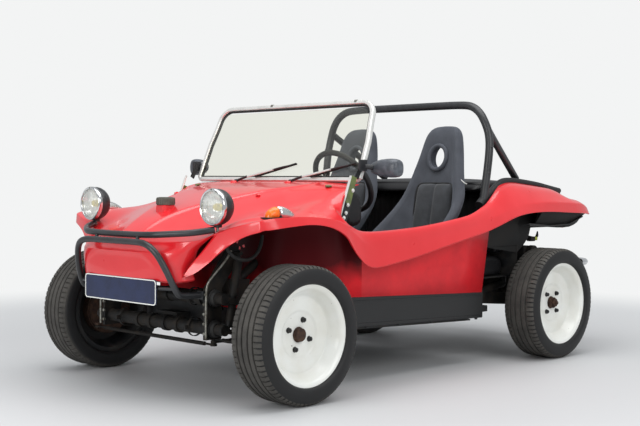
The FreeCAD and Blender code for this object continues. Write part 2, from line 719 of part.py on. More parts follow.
FENDER_RIBS = (
    # ahead at the seam, at the crown and at the lip; seam y, z; crown y, z; upper edge of the
    # outer band y, z; lip y, z
    (282, 225, 180, 405.4, 682, 498, 730, 662, 770, 668, 724),
    (211, 186, 166, 400.4, 695, 508, 747, 677, 775, 684, 729),
    (184, 164, 146, 400.4, 706, 530, 762, 688, 779, 695, 732),
    (152, 134, 120, 410.4, 719, 556, 776, 690, 782, 700, 735),
    (113, 98, 88, 432.4, 740, 584, 786, 691, 784, 703, 739),
    (70, 62, 55, 435.4, 762, 580, 792, 688, 785, 704, 743),
    (0, 0, 0, 435.4, 788, 580, 797, 685, 787, 702, 745),
    (-120, -120, -120, 455.4, 815, 580, 805, 688, 783, 704, 750),
    (-250, -250, -250, 500.4, 848, 600, 812, 688, 766, 704, 722),
    (-330, -330, -330, 535, 862, 610, 808, 686, 735, 703, 660),
)
LEAF = (
    # the band turns in along the front edge and runs down to a point beside the nose: ahead,
    # y, z of its upper and lower edges
    (225, 498, 730, 219, 546, 677),
    (255, 420, 668, 251, 488, 628),
    (275, 400, 629, 271, 454, 592),
    (299, 385, 598, 293, 420, 561),
    (317, 368, 565, 309, 396, 541),
    (329, 352, 536, 332, 360, 528),
)
fender_rows = []
for seam_ahead, crown_ahead, lip_ahead, *numbers in FENDER_RIBS:
    places = zip((seam_ahead, crown_ahead, lip_ahead, lip_ahead), pairs(numbers))
    fender_rows.append([point(ahead, y, z) for ahead, (y, z) in places])
leaf_rows = [fender_rows[1][2:], fender_rows[0][2:]]
leaf_rows += [[point(*row[:3]), point(*row[3:])] for row in LEAF]
fender = shaped(panel(fender_rows, point(0, 560, 350), WALL).fuse(panel(leaf_rows, point(0, 560, 350), WALL)))
keep("front_fenders", together(fender, mirrored(fender)))

SIDE_RIBS = (
    # ahead; cockpit edge y, z; middle of the band y, z; lip y, z
    (-331, 652, 790, 690, 735, 703, 659),
    (-378, 656, 775, 692, 700, 703, 605),
    (-445, 658, 733, 688, 650, 703, 555),
    (-505, 660, 700, 686, 625, 702, 545),
    (-588, 662, 686, 686, 622, 702, 556),
    (-707, 664, 690, 688, 632, 702, 571),
    (-853, 665, 700, 688, 650, 702, 597),
    (-1004, 665, 720, 686, 674, 701, 625),
    (-1161, 664, 742, 684, 700, 699, 654),
    (-1291, 660, 789, 680, 735, 696, 677),
    (-1360, 656, 824, 676, 757, 693, 690),
)
band_rows = [[point(ahead, y, z) for y, z in pairs(numbers)] for ahead, *numbers in SIDE_RIBS]
band = panel(band_rows, point(-850, 0, 640), WALL)

PANEL_RIBS = (
    # the flat side below the band, outside the part the band's lip covers: ahead at the top
    # and at the foot, y there, height of the top, how far forward its flange turns
    (-400, -425, 452, 560, 17),
    (-440, -440, 560, 585, 17),
    (-1490, -1425, 604, 700, 0),
)
RAKE_SLOPE = math.tan(math.radians(size("rake")))


def sill_top(ahead):
    """Height of the sill's upper face, which the side panel stands on."""
    drop = (-size("foot_front") - ahead) * RAKE_SLOPE
    return size("pan_low") + 6 + size("sill_height") + 0.4 - drop


FLANGE_GAP = 2.35


def inside_lip(ahead, numbers):
    """Where the flat side's flange meets the band, a little above the lip."""
    middle = Vector(0, numbers[2], numbers[3])
    lip = Vector(0, numbers[4], numbers[5])
    up = (middle - lip).normalize()
    return point(ahead, 0, 0) + lip + up * 12 - Vector(0, up.z, -up.y) * (WALL + FLANGE_GAP)


def open_panel_row(top_ahead, foot_ahead, y, top, forward):
    return [point(top_ahead + forward, y + 20 - forward / 2, top), point(top_ahead, y, top + 10),
            point(foot_ahead, y - 6, sill_top(foot_ahead))]


panel_rows = [open_panel_row(*row) for row in PANEL_RIBS[:2]]
for ahead, *numbers in SIDE_RIBS[3:]:
    edge = inside_lip(ahead, numbers)
    foot_ahead = ahead + (ahead + 600) * 0.04
    panel_rows.append([edge, Vector(edge.x, 606, edge.z + 12), point(foot_ahead, 600, sill_top(foot_ahead))])
panel_rows.append(open_panel_row(*PANEL_RIBS[2]))
side_panel = shaped(band)
lower_panel = shaped(panel(panel_rows, point(-850, 300, 900), WALL))
keep("side_panels", together(side_panel, mirrored(side_panel)))
keep("lower_panels", together(lower_panel, mirrored(lower_panel)))

REAR_RIBS = (
    # ahead; inner edge y, z; crown y, z; crease y, z; upper edge of the outer band y, z; lip y, z
    (-1361, 645, 835, 655, 820, 664, 790, 680, 740, 693, 690),
    (-1450, 610, 868, 632, 855, 655, 810, 675, 760, 690, 712),
    (-1530, 560, 915, 615, 897, 645, 845, 668, 785, 688, 735),
    (-1610, 530, 935, 600, 922, 640, 868, 665, 808, 684, 760),
    (-1700, 520, 938, 600, 930, 640, 872, 668, 820, 682, 776),
    (-1850, 518, 928, 600, 917, 640, 864, 668, 828, 680, 781),
    (-2000, 515, 917, 595, 906, 635, 858, 664, 830, 676, 778),
    (-2120, 508, 903, 590, 893, 632, 852, 660, 828, 672, 774),
    (-2190, 500, 870, 575, 864, 625, 846, 655, 826, 668, 771),
    (-2300, 490, 842, 560, 840, 610, 836, 648, 818, 662, 765),
    (-2362, 480, 812, 550, 806, 600, 800, 635, 785, 648, 760),
)
rear_rows = [[point(ahead, y, z) for y, z in pairs(numbers)] for ahead, *numbers in REAR_RIBS]
rear_fender = shaped(panel(rear_rows, point(-1900, 450, 500), WALL))
keep("rear_fenders", together(rear_fender, mirrored(rear_fender)))

TAIL_RIBS = (
    # ahead, height, half width: deck under the cover, then the tail's fall to its lower edge
    (-1600, 905, 500),
    (-1850, 900, 497),
    (-2120, 885, 490),
    (-2200, 850, 484),
    (-2310, 828, 474),
    (-2370, 790, 464),
    (-2362, 700, 455),
    (-2330, 640, 440),
)
tail_rows = []
for ahead, height, wide in TAIL_RIBS:
    half = [point(ahead, 0, height), point(ahead, wide * 0.55, height - 2), point(ahead, wide, height - 6)]
    tail_rows.append(full_row(half))
keep("tail_panel", shaped(panel(tail_rows, point(-1900, 0, 500), WALL)))

# ---------------------------------------------------------------------------------------
# Inner tub: footwell, wheel house walls and bulkhead behind the rear seat
# ---------------------------------------------------------------------------------------
FOOT_TOP = 770
FOOT_BACK = 440
foot_low = size("pan_low") + size("pan_thick") + size("seat_gap")
front_wall = block(-size("foot_front") - WALL, -size("foot_wall_y"), foot_low, WALL, 2 * size("foot_wall_y"),
                   FOOT_TOP - foot_low)
side_wall = block(-FOOT_BACK, size("foot_wall_y") - WALL, foot_low, FOOT_BACK - size("foot_front"), WALL,
                  FOOT_TOP - foot_low)
other_wall = side_wall.mirror(Vector(0, 0, 0), Y_AXIS)
tunnel_gap = TUNNEL_HALF + size("seat_gap")
tunnel_hole = block(-size("foot_front") - 20, -tunnel_gap, foot_low - 10, 40, 2 * tunnel_gap,
                    tunnel_top - foot_low + 10)
footwell = raked(shaped(front_wall.fuse([side_wall, other_wall]).cut(tunnel_hole)))
holed = less(footwell, shaped(column_hole))
keep("footwell", holed)

TUB_BACK = -1785 + size("seat_gap")
BENCH_LOW = 430
house_wall = block(TUB_BACK, 560, 600, 325, WALL, 175)
liner = [[point(-1790, 500, 705), point(-1790, 640, 715)], [point(-1990, 500, 690), point(-1990, 645, 700)],
         [point(-2190, 500, 692), point(-2190, 640, 705)], [point(-2340, 500, 735), point(-2340, 630, 745)]]
liner_left = shaped(panel(liner, point(-1990, 560, 900), WALL))
house_left = shaped(house_wall)
back_wall = block(-1790, -565, BENCH_LOW, WALL, 1130, 459.6)
seat_floor = block(TUB_BACK, -520, BENCH_LOW, 345, 1040, WALL)
keep("rear_tub", together(shaped(back_wall), shaped(seat_floor), house_left, mirrored(house_left),
                          liner_left, mirrored(liner_left)))

# ---------------------------------------------------------------------------------------
# Trim that closes the cockpit: dashboard, rear seat and padded deck cover
# ---------------------------------------------------------------------------------------
dash = block(-590, -520, 735, 90, 1040, 159.4).fuse(block(-600, -470, 700, 40, 940, 60))
dash = dash.cut(bar(hub_point, column_foot, COLUMN_RADIUS + size("seat_gap")))
keep("dashboard", shaped(dash))

CUSHION_ROUND = 25
bench = block(-1772, -500, BENCH_LOW + 5 + size("seat_gap"), 300, 1000, 110)
bench = bench.makeFillet(CUSHION_ROUND, bench.Edges)
backrest = block(TUB_BACK, -500, 547, 90, 1000, 338)
backrest = backrest.makeFillet(CUSHION_ROUND, backrest.Edges)
keep("rear_seat", together(shaped(bench), shaped(backrest)))

COVER = (
    # back from the front axle, underside, top
    (-1500, 915, 935),
    (-1600, 905.4, 952),
    (-1760, 902.6, 962),
    (-1850, 900.6, 957),
    (-1930, 896.4, 948),
    (-2060, 889, 925),
    (-2120, 885.6, 920),
    (-2175, 884, 915),
)
cover_half = 495
front_face = [point(ahead, -cover_half, top) for ahead, low, top in COVER]
front_face += [point(ahead, -cover_half, low) for ahead, low, top in reversed(COVER)]
cover = Part.Face(Part.makePolygon(front_face + front_face[:1])).extrude(Vector(0, 2 * cover_half, 0))
keep("deck_cover", shaped(cover))

# ---------------------------------------------------------------------------------------
# Windscreen: polished frame, glass, wipers and mirrors
# ---------------------------------------------------------------------------------------
SCREEN_OUTER = (
    ("-screen_low_half", "0"),
    ("screen_low_half", "0"),
    ("screen_low_half - 6", "screen_height * 0.5"),
    ("screen_top_half - 5", "screen_height - 60"),
    ("screen_top_half - 30", "screen_height - 15"),
    ("screen_top_half - 75", "screen_height"),
    ("-screen_top_half + 75", "screen_height"),
    ("-screen_top_half + 30", "screen_height - 15"),
    ("-screen_top_half + 5", "screen_height - 60"),
    ("-screen_low_half + 6", "screen_height * 0.5"),
)
SCREEN_INNER = (
    ("-screen_low_half + frame_face", "frame_face"),
    ("screen_low_half - frame_face", "frame_face"),
    ("screen_low_half - frame_face - 6", "screen_height * 0.5"),
    ("screen_top_half - frame_face - 6", "screen_height - 70"),
    ("screen_top_half - frame_face - 25", "screen_height - 38"),
    ("screen_top_half - frame_face - 55", "screen_height - frame_face"),
    ("-screen_top_half + frame_face + 55", "screen_height - frame_face"),
    ("-screen_top_half + frame_face + 25", "screen_height - 38"),
    ("-screen_top_half + frame_face + 6", "screen_height - 70"),
    ("-screen_low_half + frame_face + 6", "screen_height * 0.5"),
)


def screen_place(thing):
    """Stands a piece that is drawn on the YZ plane on the sloping screen plane."""
    turn(thing, Y_AXIS, -size("screen_tilt"))
    bind(thing, Base_x="front_axle_x - screen_foot_back", Base_z="screen_foot_z")
    return thing


outer_frame = padded("screen_outer", "YZ_Plane", SCREEN_OUTER, "frame_deep", True)
inner_frame = padded("screen_inner", "YZ_Plane", SCREEN_INNER, "frame_deep + 10", True)
keep("windshield_frame", screen_place(less(outer_frame, inner_frame)))

pane_trim = padded("pane", "YZ_Plane", SCREEN_INNER, "glass_thick", True)
keep("windshield_glass", screen_place(pane_trim))

screen_foot = point(-size("screen_foot_back"), 0, size("screen_foot_z"))
screen_lean = math.radians(size("screen_tilt"))
screen_up = Vector(-math.sin(screen_lean), 0, math.cos(screen_lean))
screen_out = Vector(screen_up.z, 0, -screen_up.x)

wipers = []
blade_half = (Y_AXIS + screen_up * 0.25).normalize() * 138
for pivot_y, foot_z in ((-220, 922.3), (172, 923.1)):
    low = point(-470, pivot_y, foot_z)
    post = Part.makeCylinder(8, 22, low)
    knee = low + Vector(0, 0, 18)
    tip = screen_foot + screen_up * 52 + screen_out * 24 + Vector(0, pivot_y + 231, 0)
    arm = bar(knee, tip, 4)
    blade = bar(tip - blade_half, tip + blade_half, 5)
    wipers.append(shaped(post.fuse([arm, blade])))
keep("wipers", together(*wipers))

mirror_foot = screen_foot + screen_up * 75 + Vector(0, size("screen_low_half") - 0.9, 0)
stalk = bar(mirror_foot + Vector(0, 8, 0), point(-595, 650, 1000), 9)
mirror_base = bar(mirror_foot, mirror_foot + Vector(0, 12, 0), 18)
mirror_head = block(-630, 600, 953, 70, 147, 92)
mirror_head = mirror_head.makeFillet(25, mirror_head.Edges)
left_mirror = shaped(mirror_base.fuse([stalk, mirror_head]))
keep("mirrors", together(left_mirror, mirrored(left_mirror)))

# ---------------------------------------------------------------------------------------
# Tubes: push bar with its lamp brackets, roll bar with its braces, rear bumper
# ---------------------------------------------------------------------------------------
PUSH = size("push_radius")
TOWER_BACK = -size("wheelbase") + 50
LAMP_REST = (232, 438, 729)


def both_sides(half):
    """A bar's points from its left end to the middle, then on to its right end."""
    return [point(*place) for place in half] + [point(a, -y, z) for a, y, z in reversed(half[:-1])]


top_points = both_sides([LAMP_REST, (300, 392, 716), (404, 245, 704), (412, 0, 700)])
hoop_points = both_sides([(232, 352, 447), (338, 345, 451), (404, 300, 572), (438, 238, 668), (428, 0, 672)])
top_bar = tube(top_points, PUSH, 70)
hoop_bar = tube(hoop_points, PUSH, 45)
struts = [bar(point(418, y, 672), point(410, y, 701), 8) for y in (-150, 150)]
plate_back = size("plate_x") - size("seat_gap")
ears = [block(plate_back - 14, side * 240 - 10, 464, 14, 20, 28) for side in (-1, 1)]
ears += [bar(point(362, side * 326, 479), point(388, side * 240, 478), 8) for side in (-1, 1)]
tower_front = size("beam_x") + 45 + size("seat_gap")
hoop_feet = [block(tower_front, y - 18, 430, 12, 36, 36) for y in (-352, 352)]
keep("push_bar", shaped(top_bar.fuse([hoop_bar] + struts + hoop_feet + ears)))

bar_radius = size("bar_radius")
leg_foot = sill_top(-1400) + size("seat_gap")
hoop = both_sides([(-1400, 560, leg_foot), (-1421, 556, 800), (-1482, 575, 1130), (-1530, 520, 1324),
                   (-1530, 0, 1324)])
main_hoop = tube(hoop, bar_radius, 110)
braces = [bar(point(-1500, y * 560, 1215), point(-1855, y * 475, 973.5), bar_radius - 2) for y in (1, -1)]
keep("roll_bar", shaped(main_hoop.fuse(braces)))

tail = -size("tail_back")
tail_points = both_sides([(tail + 90, 552, 480), (tail + 10, 556, 480), (tail, 430, 480), (tail, 0, 480)])
bumper_tube = tube(tail_points, size("bumper_radius"), 55)
carrier_end = TOWER_BACK - size("seat_gap") - 1.7
carriers = [bar(point(tail, y, 480), point(carrier_end, y, 560), 14) for y in (-435, 435)]
keep("rear_bumper", shaped(bumper_tube.fuse(carriers)))

# ---------------------------------------------------------------------------------------
# Lamps, number plate and filler
# ---------------------------------------------------------------------------------------
LAMP = (
    # radius, ahead of the face: lens, chrome rim and bowl
    ("0", "6"),
    ("lamp_radius - 20", "0"),
    ("lamp_radius - 6", "-6"),
    ("lamp_radius", "-14"),
    ("lamp_radius", "-30"),
    ("lamp_radius - 10", "-55"),
    ("lamp_radius - 35", "-80"),
    ("0", "-90"),
)
lamp = revolved("headlamp", LAMP)
turn(lamp, Z_AXIS, -90)
bind(lamp, Base_x="front_axle_x + lamp_x", Base_y="lamp_y", Base_z="lamp_z")
stem_x = size("lamp_x") - 22
stem = shaped(bar(point(stem_x, 442, LAMP_REST[2] + PUSH + 0.1), point(stem_x, 442, size("lamp_z") - 60), 9))
lamp_unit = fused(lamp, stem)
keep("headlamps", together(lamp_unit, mirrored(lamp_unit)))

plate = box("plate_x", "-plate_long / 2", "plate_z - plate_tall / 2", 4, "plate_long", "plate_tall")
keep("number_plate", plate)

def topmost(shape):
    """Of a piece cut by the skin it stands on, the part above the skin."""
    return max(shape.Solids, key=lambda solid: solid.CenterOfMass.z)


flasher_base = Part.makeBox(95, 46, 30, point(65, 577, 778))
flasher = shaped(topmost(flasher_base.makeFillet(12, flasher_base.Edges).cut(fender.Shape)))
keep("indicators", together(flasher, mirrored(flasher)))

filler = Part.makeCylinder(30, 40, point(163, 0, 795)).fuse(Part.makeCylinder(40, 26, point(163, 0, 833)))
keep("fuel_filler", shaped(topmost(filler.cut(finished["hood"].Shape))))

tail_lamp = Part.makeCylinder(36, 32, point(-2370.5, 400, 746), X_AXIS * -1)
tail_lamp_left = shaped(tail_lamp)
keep("rear_lamps", together(tail_lamp_left, mirrored(tail_lamp_left)))

# ---------------------------------------------------------------------------------------
# Bucket seats
# ---------------------------------------------------------------------------------------
def bucket(side):
    """High-backed bucket seat: base, back with a headrest hole, side bolsters."""
    mid = side * size("seat_y")
    half = size("seat_half")
    seat_low = size("pan_low") + size("pan_thick") + size("seat_gap")
    base = Part.makeBox(470, 2 * half - 50, 190, point(-1400, mid - half + 25, seat_low))
    back_outline = (
        # along the back's slope, half width
        (0, half), (430, half - 15), (560, half - 60), (700, 128), (770, 112), (815, 82), (832, 40),
    )
    corners = [Vector(0, wide, up) for up, wide in back_outline]
    corners += [Vector(0, -wide, up) for up, wide in reversed(back_outline)]
    back = Part.Face(Part.makePolygon(corners + corners[:1])).extrude(Vector(-85, 0, 0))
    hole = Part.makeCylinder(48, 300, Vector(100, 0, 650), X_AXIS * -1)
    wing = Part.makeBox(110, 55, 470, Vector(-10, half - 55, 30))
    back = back.fuse([wing, wing.mirror(Vector(0, 0, 0), Y_AXIS)]).cut(hole)
    back.Placement = FreeCAD.Placement(point(-1238, mid, 432), FreeCAD.Rotation(Y_AXIS, -12))
    thighs = [Part.makeBox(420, 55, 90, point(-1360, y, 450)) for y in (mid - half, mid + half - 55)]
    return base.fuse([back] + thighs)


keep("front_seats", together(raked(shaped(bucket(LEFT))), raked(shaped(bucket(RIGHT)))))

# ---------------------------------------------------------------------------------------
# Rear axle, engine and exhaust
# ---------------------------------------------------------------------------------------
REAR = -size("wheelbase")
axle_z = size("tyre_radius")
torsion = point(REAR + size("torsion_ahead"), 0, size("torsion_z"))
torsion_tube = bar(torsion - Vector(0, 450, 0), torsion + Vector(0, 450, 0), 45)
gearbox = block(REAR - 60, -105, 205, 430, 210, 200)
axle_tube = bar(point(REAR, -600, axle_z), point(REAR, 600, axle_z), 32)
drum_back = size("rear_wheel_y") + size("disc_seat") - size("drum_depth")
rear_pieces = [torsion_tube, gearbox, axle_tube]
for side in (LEFT, RIGHT):
    plate_y = side * (drum_back - size("plate_gap"))
    rear_pieces.append(bar(point(REAR, side * 590, axle_z), point(REAR, plate_y, axle_z), 40))
    plate_back = point(REAR, plate_y - side * 6, axle_z)
    rear_pieces.append(bar(plate_back, point(REAR, plate_y, axle_z), BRAKE_PLATE))
    rear_pieces.append(bar(point(REAR, side * 590, axle_z),
                           point(REAR, side * (drum_back + size("spindle_depth") - 3), axle_z),
                           size("spindle_radius") - size("fit_gap")))
    spring_start = point(REAR + size("torsion_ahead"), side * 456, size("torsion_z"))
    half = Vector(0, 0, 32)
    end = point(REAR - 30, side * 456, axle_z)
    face = Part.Face(Part.makePolygon([spring_start + half, end + half, end - half, spring_start - half,
                                       spring_start + half]))
    rear_pieces.append(face.extrude(Vector(0, -side * 12, 0)))
    rear_pieces.append(bar(point(REAR + 20, side * 492, axle_z + 20), point(REAR + 78, side * 492, 610), 20))
    tower = point(REAR + 78, side * 435, 385)
    rear_pieces.append(bar(torsion + Vector(0, side * 435, 0), tower, 22))
    rear_pieces.append(bar(tower, point(REAR + 78, side * 435, 610), 18))
    rear_pieces.append(bar(point(REAR + 78, side * 425, 600), point(REAR + 78, side * 500, 600), 12))
    rear_pieces.append(block(TOWER_BACK, side * 435 - 20, 540, 45, 40, 60))
keep("rear_axle", shaped(rear_pieces[0].fuse(rear_pieces[1:])))

ENGINE_FRONT = REAR - 60 - size("seat_gap")
crankcase = block(ENGINE_FRONT - 370, -120, 235, 370, 240, 250)
banks = [block(ENGINE_FRONT - 330, min(side * 115, side * 400), 300, 280, 285, 130) for side in (LEFT, RIGHT)]
fan_house = block(ENGINE_FRONT - 250, -260, 440, 130, 520, 260)
fan_top = Part.makeCylinder(150, 130, point(ENGINE_FRONT - 250, 0, 640), X_AXIS)
pulley = Part.makeCylinder(85, 40, point(ENGINE_FRONT - 410, 0, 375), X_AXIS)
keep("engine", shaped(crankcase.fuse(banks + [fan_house, fan_top, pulley])))

SILENCER = REAR - 540
silencer = bar(point(SILENCER, -270, 300), point(SILENCER, 270, 300), 54)
header = [tube([point(REAR - 250, side * 340, 300 - size("seat_gap")), point(REAR - 250, side * 340, 235),
                point(SILENCER, side * 340, 235), point(SILENCER, side * 240, 300)], 19, 30)
          for side in (LEFT, RIGHT)]
pipes = [bar(point(SILENCER - 20, side * 120, 290), point(SILENCER - 65, side * 120, 275), 18)
         for side in (LEFT, RIGHT)]
keep("exhaust", shaped(silencer.fuse(header + pipes)))

# ---------------------------------------------------------------------------------------
# Check and write every sub-part
# ---------------------------------------------------------------------------------------
doc.recompute()
faults = [f"{item.Label}: {item.State}" for item in doc.Objects
          if "Invalid" in item.State or "Error" in item.State]
for label, thing in finished.items():
    shape = thing.Shape
    if shape.isNull() or not shape.isValid() or not shape.Solids:
        faults.append(f"{label}: no valid shape")
if faults:
    raise SystemExit("\n".join(faults))
for label, thing in finished.items():
    thing.Shape.exportStep(f"parts/{label}.step")
print(len(finished), "sub-parts written")
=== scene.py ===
import json
import math

import bmesh
import bpy
from mathutils import Matrix, Vector


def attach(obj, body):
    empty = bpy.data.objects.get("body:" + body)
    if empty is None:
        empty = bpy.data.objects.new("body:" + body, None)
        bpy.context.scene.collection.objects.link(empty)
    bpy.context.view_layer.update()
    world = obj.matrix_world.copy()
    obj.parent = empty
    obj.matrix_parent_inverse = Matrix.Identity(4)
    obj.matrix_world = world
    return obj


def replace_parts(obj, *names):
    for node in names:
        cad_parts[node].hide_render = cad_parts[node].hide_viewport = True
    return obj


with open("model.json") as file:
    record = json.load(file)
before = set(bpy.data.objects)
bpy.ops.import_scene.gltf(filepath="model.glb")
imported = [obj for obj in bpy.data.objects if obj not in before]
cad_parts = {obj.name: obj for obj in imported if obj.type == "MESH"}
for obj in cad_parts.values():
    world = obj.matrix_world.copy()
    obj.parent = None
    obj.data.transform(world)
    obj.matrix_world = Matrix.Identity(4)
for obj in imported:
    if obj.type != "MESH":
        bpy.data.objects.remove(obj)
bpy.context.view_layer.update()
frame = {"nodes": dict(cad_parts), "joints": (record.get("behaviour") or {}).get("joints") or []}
nodes = frame["nodes"]
spin_place = {joint["name"]: Vector(joint["pos_m"]) for joint in frame["joints"]}
FRONT_AXLE = spin_place["wheel_front_left_spin"].x

# ---------------------------------------------------------------------------
# Studio: a round pale floor under an open white sky, two large soft boxes overhead and
# one low fill at the front, as in a showroom. The car stands on its tyres at height zero.
# ---------------------------------------------------------------------------


def tint(code):
    """A colour written as sRGB hex, turned to linear."""
    parts = [int(code[i:i + 2], 16) / 255 for i in (1, 3, 5)]
    return tuple(c / 12.92 if c <= 0.04045 else ((c + 0.055) / 1.055) ** 2.4 for c in parts) + (1.0,)


def add(tree, kind, inputs=None, **settings):
    """Adds a node; an input given as a socket is linked, and anything else is set."""
    made = tree.nodes.new(kind)
    for name, value in settings.items():
        setattr(made, name, value)
    for name, value in (inputs or {}).items():
        if isinstance(value, bpy.types.NodeSocket):
            tree.links.new(value, made.inputs[name])
        else:
            made.inputs[name].default_value = value
    return made


def new_coat(name, **values):
    """A material and its one Principled shader; values are that shader's own sockets."""
    coat = bpy.data.materials.new(name)
    coat.use_nodes = True
    shader = coat.node_tree.nodes["Principled BSDF"]
    for socket, value in values.items():
        shader.inputs[socket.replace("_", " ")].default_value = value
    return coat, shader


def feed(shader, **sockets):
    """Links sockets to a shader's inputs, by name."""
    for name, socket in sockets.items():
        shader.id_data.links.new(socket, shader.inputs[name.replace("_", " ")])


def shown(shader):
    """Makes a mixed shader's output the one that its material or world shows."""
    output = next(node for node in shader.id_data.nodes if node.type.startswith("OUTPUT"))
    shader.id_data.links.new(shader.outputs[0], output.inputs["Surface"])


def spread(shader, kind="Object"):
    """The coordinates that a finish is spread over."""
    return add(shader.id_data, "ShaderNodeTexCoord").outputs[kind]


def noise(place, scale, detail, rough=0.5):
    """Cloudy noise from 0 to 1."""
    return add(place.id_data, "ShaderNodeTexNoise",
               {"Vector": place, "Scale": scale, "Detail": detail, "Roughness": rough}).outputs["Fac"]


def ramp(value, low, high, to_low=0.0, to_high=1.0, **settings):
    """Maps a value from one range to another and holds it at both ends."""
    return add(value.id_data, "ShaderNodeMapRange", {"Value": value, "From Min": low, "From Max": high,
                                                     "To Min": to_low, "To Max": to_high}, **settings).outputs[0]


def maths(operation, a, b):
    """A sum or product of a socket and a socket or number."""
    return add(a.id_data, "ShaderNodeMath", {0: a, 1: b}, operation=operation).outputs[0]


def mixed(share, *pair):
    """Two colours, each a hex code or a socket, mixed by a share."""
    first, second = (tint(colour) if isinstance(colour, str) else colour for colour in pair)
    return add(share.id_data, "ShaderNodeMix", {0: share, 6: first, 7: second}, data_type="RGBA").outputs[2]


def bump(height, strength, distance):
    """A normal raised by a height; distance in metres."""
    return add(height.id_data, "ShaderNodeBump",
               {"Height": height, "Strength": strength, "Distance": distance}).outputs[0]


FLOOR_RADIUS = 4.6
floor_coat, shader = new_coat("Sealed floor", Roughness=0.6)
tree = shader.id_data
reach = add(tree, "ShaderNodeVectorMath", {0: spread(shader)}, operation="LENGTH").outputs["Value"]
edge = ramp(reach, 1.4, FLOOR_RADIUS, interpolation_type="SMOOTHSTEP")
feed(shader, Base_Color=mixed(edge, "#C4C5C6", "#F1F2F2"))
fade = ramp(reach, 3.0, FLOOR_RADIUS, interpolation_type="SMOOTHSTEP")
glow = add(tree, "ShaderNodeEmission", {"Color": tint("#F3F4F4"), "Strength": 1.0})
shown(add(tree, "ShaderNodeMixShader", {0: fade, 1: shader.outputs[0], 2: glow.outputs[0]}))

sheet = bmesh.new()
bmesh.ops.create_circle(sheet, cap_ends=True, segments=96, radius=FLOOR_RADIUS)
floor_mesh = bpy.data.meshes.new("studio_floor")
sheet.to_mesh(floor_mesh)
sheet.free()
floor_mesh.materials.append(floor_coat)
floor = bpy.data.objects.new("studio_floor", floor_mesh)
bpy.context.scene.collection.objects.link(floor)

sky = bpy.data.worlds.new("Studio sky")
sky.use_nodes = True
bpy.context.scene.world = sky
tree = sky.node_tree
seen = add(tree, "ShaderNodeLightPath")
plain = add(tree, "ShaderNodeMath", {0: seen.outputs["Is Camera Ray"], 1: seen.outputs["Is Transmission Ray"]},
            operation="MAXIMUM")
light = add(tree, "ShaderNodeBackground", {"Color": tint("#F4F7FA"), "Strength": 0.62})
backdrop = add(tree, "ShaderNodeBackground", {"Color": tint("#F3F4F4"), "Strength": 1.0})
shown(add(tree, "ShaderNodeMixShader", {0: plain.outputs[0], 1: light.outputs[0], 2: backdrop.outputs[0]}))

for name, place, aim, width, depth, power in (
        ("Overhead box", (0.4, 0.6, 4.2), (0, 0, 0.4), 5.0, 3.2, 150),
        ("Side box", (1.0, 5.2, 3.0), (-0.2, 0, 0.5), 4.0, 2.0, 75),
        ("Front fill", (5.4, 0.6, 1.8), (0.6, 0, 0.5), 2.6, 1.6, 74)):
    lamp = bpy.data.lights.new(name, "AREA")
    lamp.shape = "RECTANGLE"
    lamp.size, lamp.size_y, lamp.energy = width, depth, power
    box = bpy.data.objects.new(name, lamp)
    box.location = place
    box.rotation_euler = (Vector(aim) - Vector(place)).to_track_quat("-Z", "Y").to_euler()
    bpy.context.scene.collection.objects.link(box)

# The camera's place, turn and lens, in metres, degrees and millimetres.
CAMERA_PLACE, CAMERA_LENS = Vector((4.4168, 4.1277, 0.9334)), 64.6
CAMERA_HEADING, CAMERA_TILT, CAMERA_ROLL = -135.572, -1.556, 0.411
heading, tilt = math.radians(CAMERA_HEADING), math.radians(CAMERA_TILT)
aim = Vector((math.cos(heading) * math.cos(tilt), math.sin(heading) * math.cos(tilt), math.sin(tilt)))
lens = bpy.data.cameras.new("Camera")
lens.lens, lens.sensor_width, lens.sensor_fit = CAMERA_LENS, 36, "HORIZONTAL"
camera = bpy.data.objects.new("Camera", lens)
camera.matrix_world = (Matrix.Translation(CAMERA_PLACE) @ aim.to_track_quat("-Z", "Y").to_matrix().to_4x4()
                       @ Matrix.Rotation(math.radians(CAMERA_ROLL), 4, "Z"))
bpy.context.scene.collection.objects.link(camera)
bpy.context.scene.camera = camera
bpy.context.scene.view_settings.view_transform = "Standard"

# ---------------------------------------------------------------------------
# Floor pan, sills and rear bulkhead: pressed steel, brushed over with black chassis paint
# that road dust and age have turned grey-brown in the folds. The car is built up on it.
# ---------------------------------------------------------------------------
MM = 0.001
SIDES = (("left", 1), ("right", -1))
# Edges sharper than this stay sharp under smooth shading.
SHARP = math.radians(38)


def front(ahead, y, z):
    """A point in metres from millimetres ahead of the front axle, left of the middle, up."""
    return Vector((FRONT_AXLE + ahead * MM, y * MM, z * MM))


def finished(name, data, body="chassis"):
    """Puts a mesh in the scene as an object at the origin that rides on a body."""
    data.set_sharp_from_angle(angle=SHARP)
    made = bpy.data.objects.new(name, data)
    bpy.context.scene.collection.objects.link(made)
    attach(made, body)
    return made


def piece(name, mesh, coats, body="chassis"):
    """Turns a finished bmesh into such an object, its faces outward, in one material or several."""
    bmesh.ops.recalc_face_normals(mesh, faces=mesh.faces)
    data = bpy.data.meshes.new(name)
    mesh.to_mesh(data)
    mesh.free()
    for coat in coats if isinstance(coats, tuple) else (coats,):
        data.materials.append(coat)
    return finished(name, data, body)


def dress(coat, *names):
    """Gives CAD nodes a finish; their shape stays as it is."""
    for name in names:
        nodes[name].data.materials.clear()
        nodes[name].data.materials.append(coat)


def weathered(name, base, worn, patch, grain, dull, relief, **values):
    """A finish with two tones in patches, a fine grain and uneven shine; patch, grain and relief in mm."""
    coat, shader = new_coat(name, **values)
    place = spread(shader)
    cloud = noise(place, 1000 / patch, 5.0, 0.6)
    feed(shader, Base_Color=mixed(ramp(cloud, 0.42, 0.68), base, worn), Roughness=ramp(cloud, 0.3, 0.7, *dull),
         Normal=bump(noise(place, 1000 / grain, 3.0), 0.6, relief * MM))
    return coat


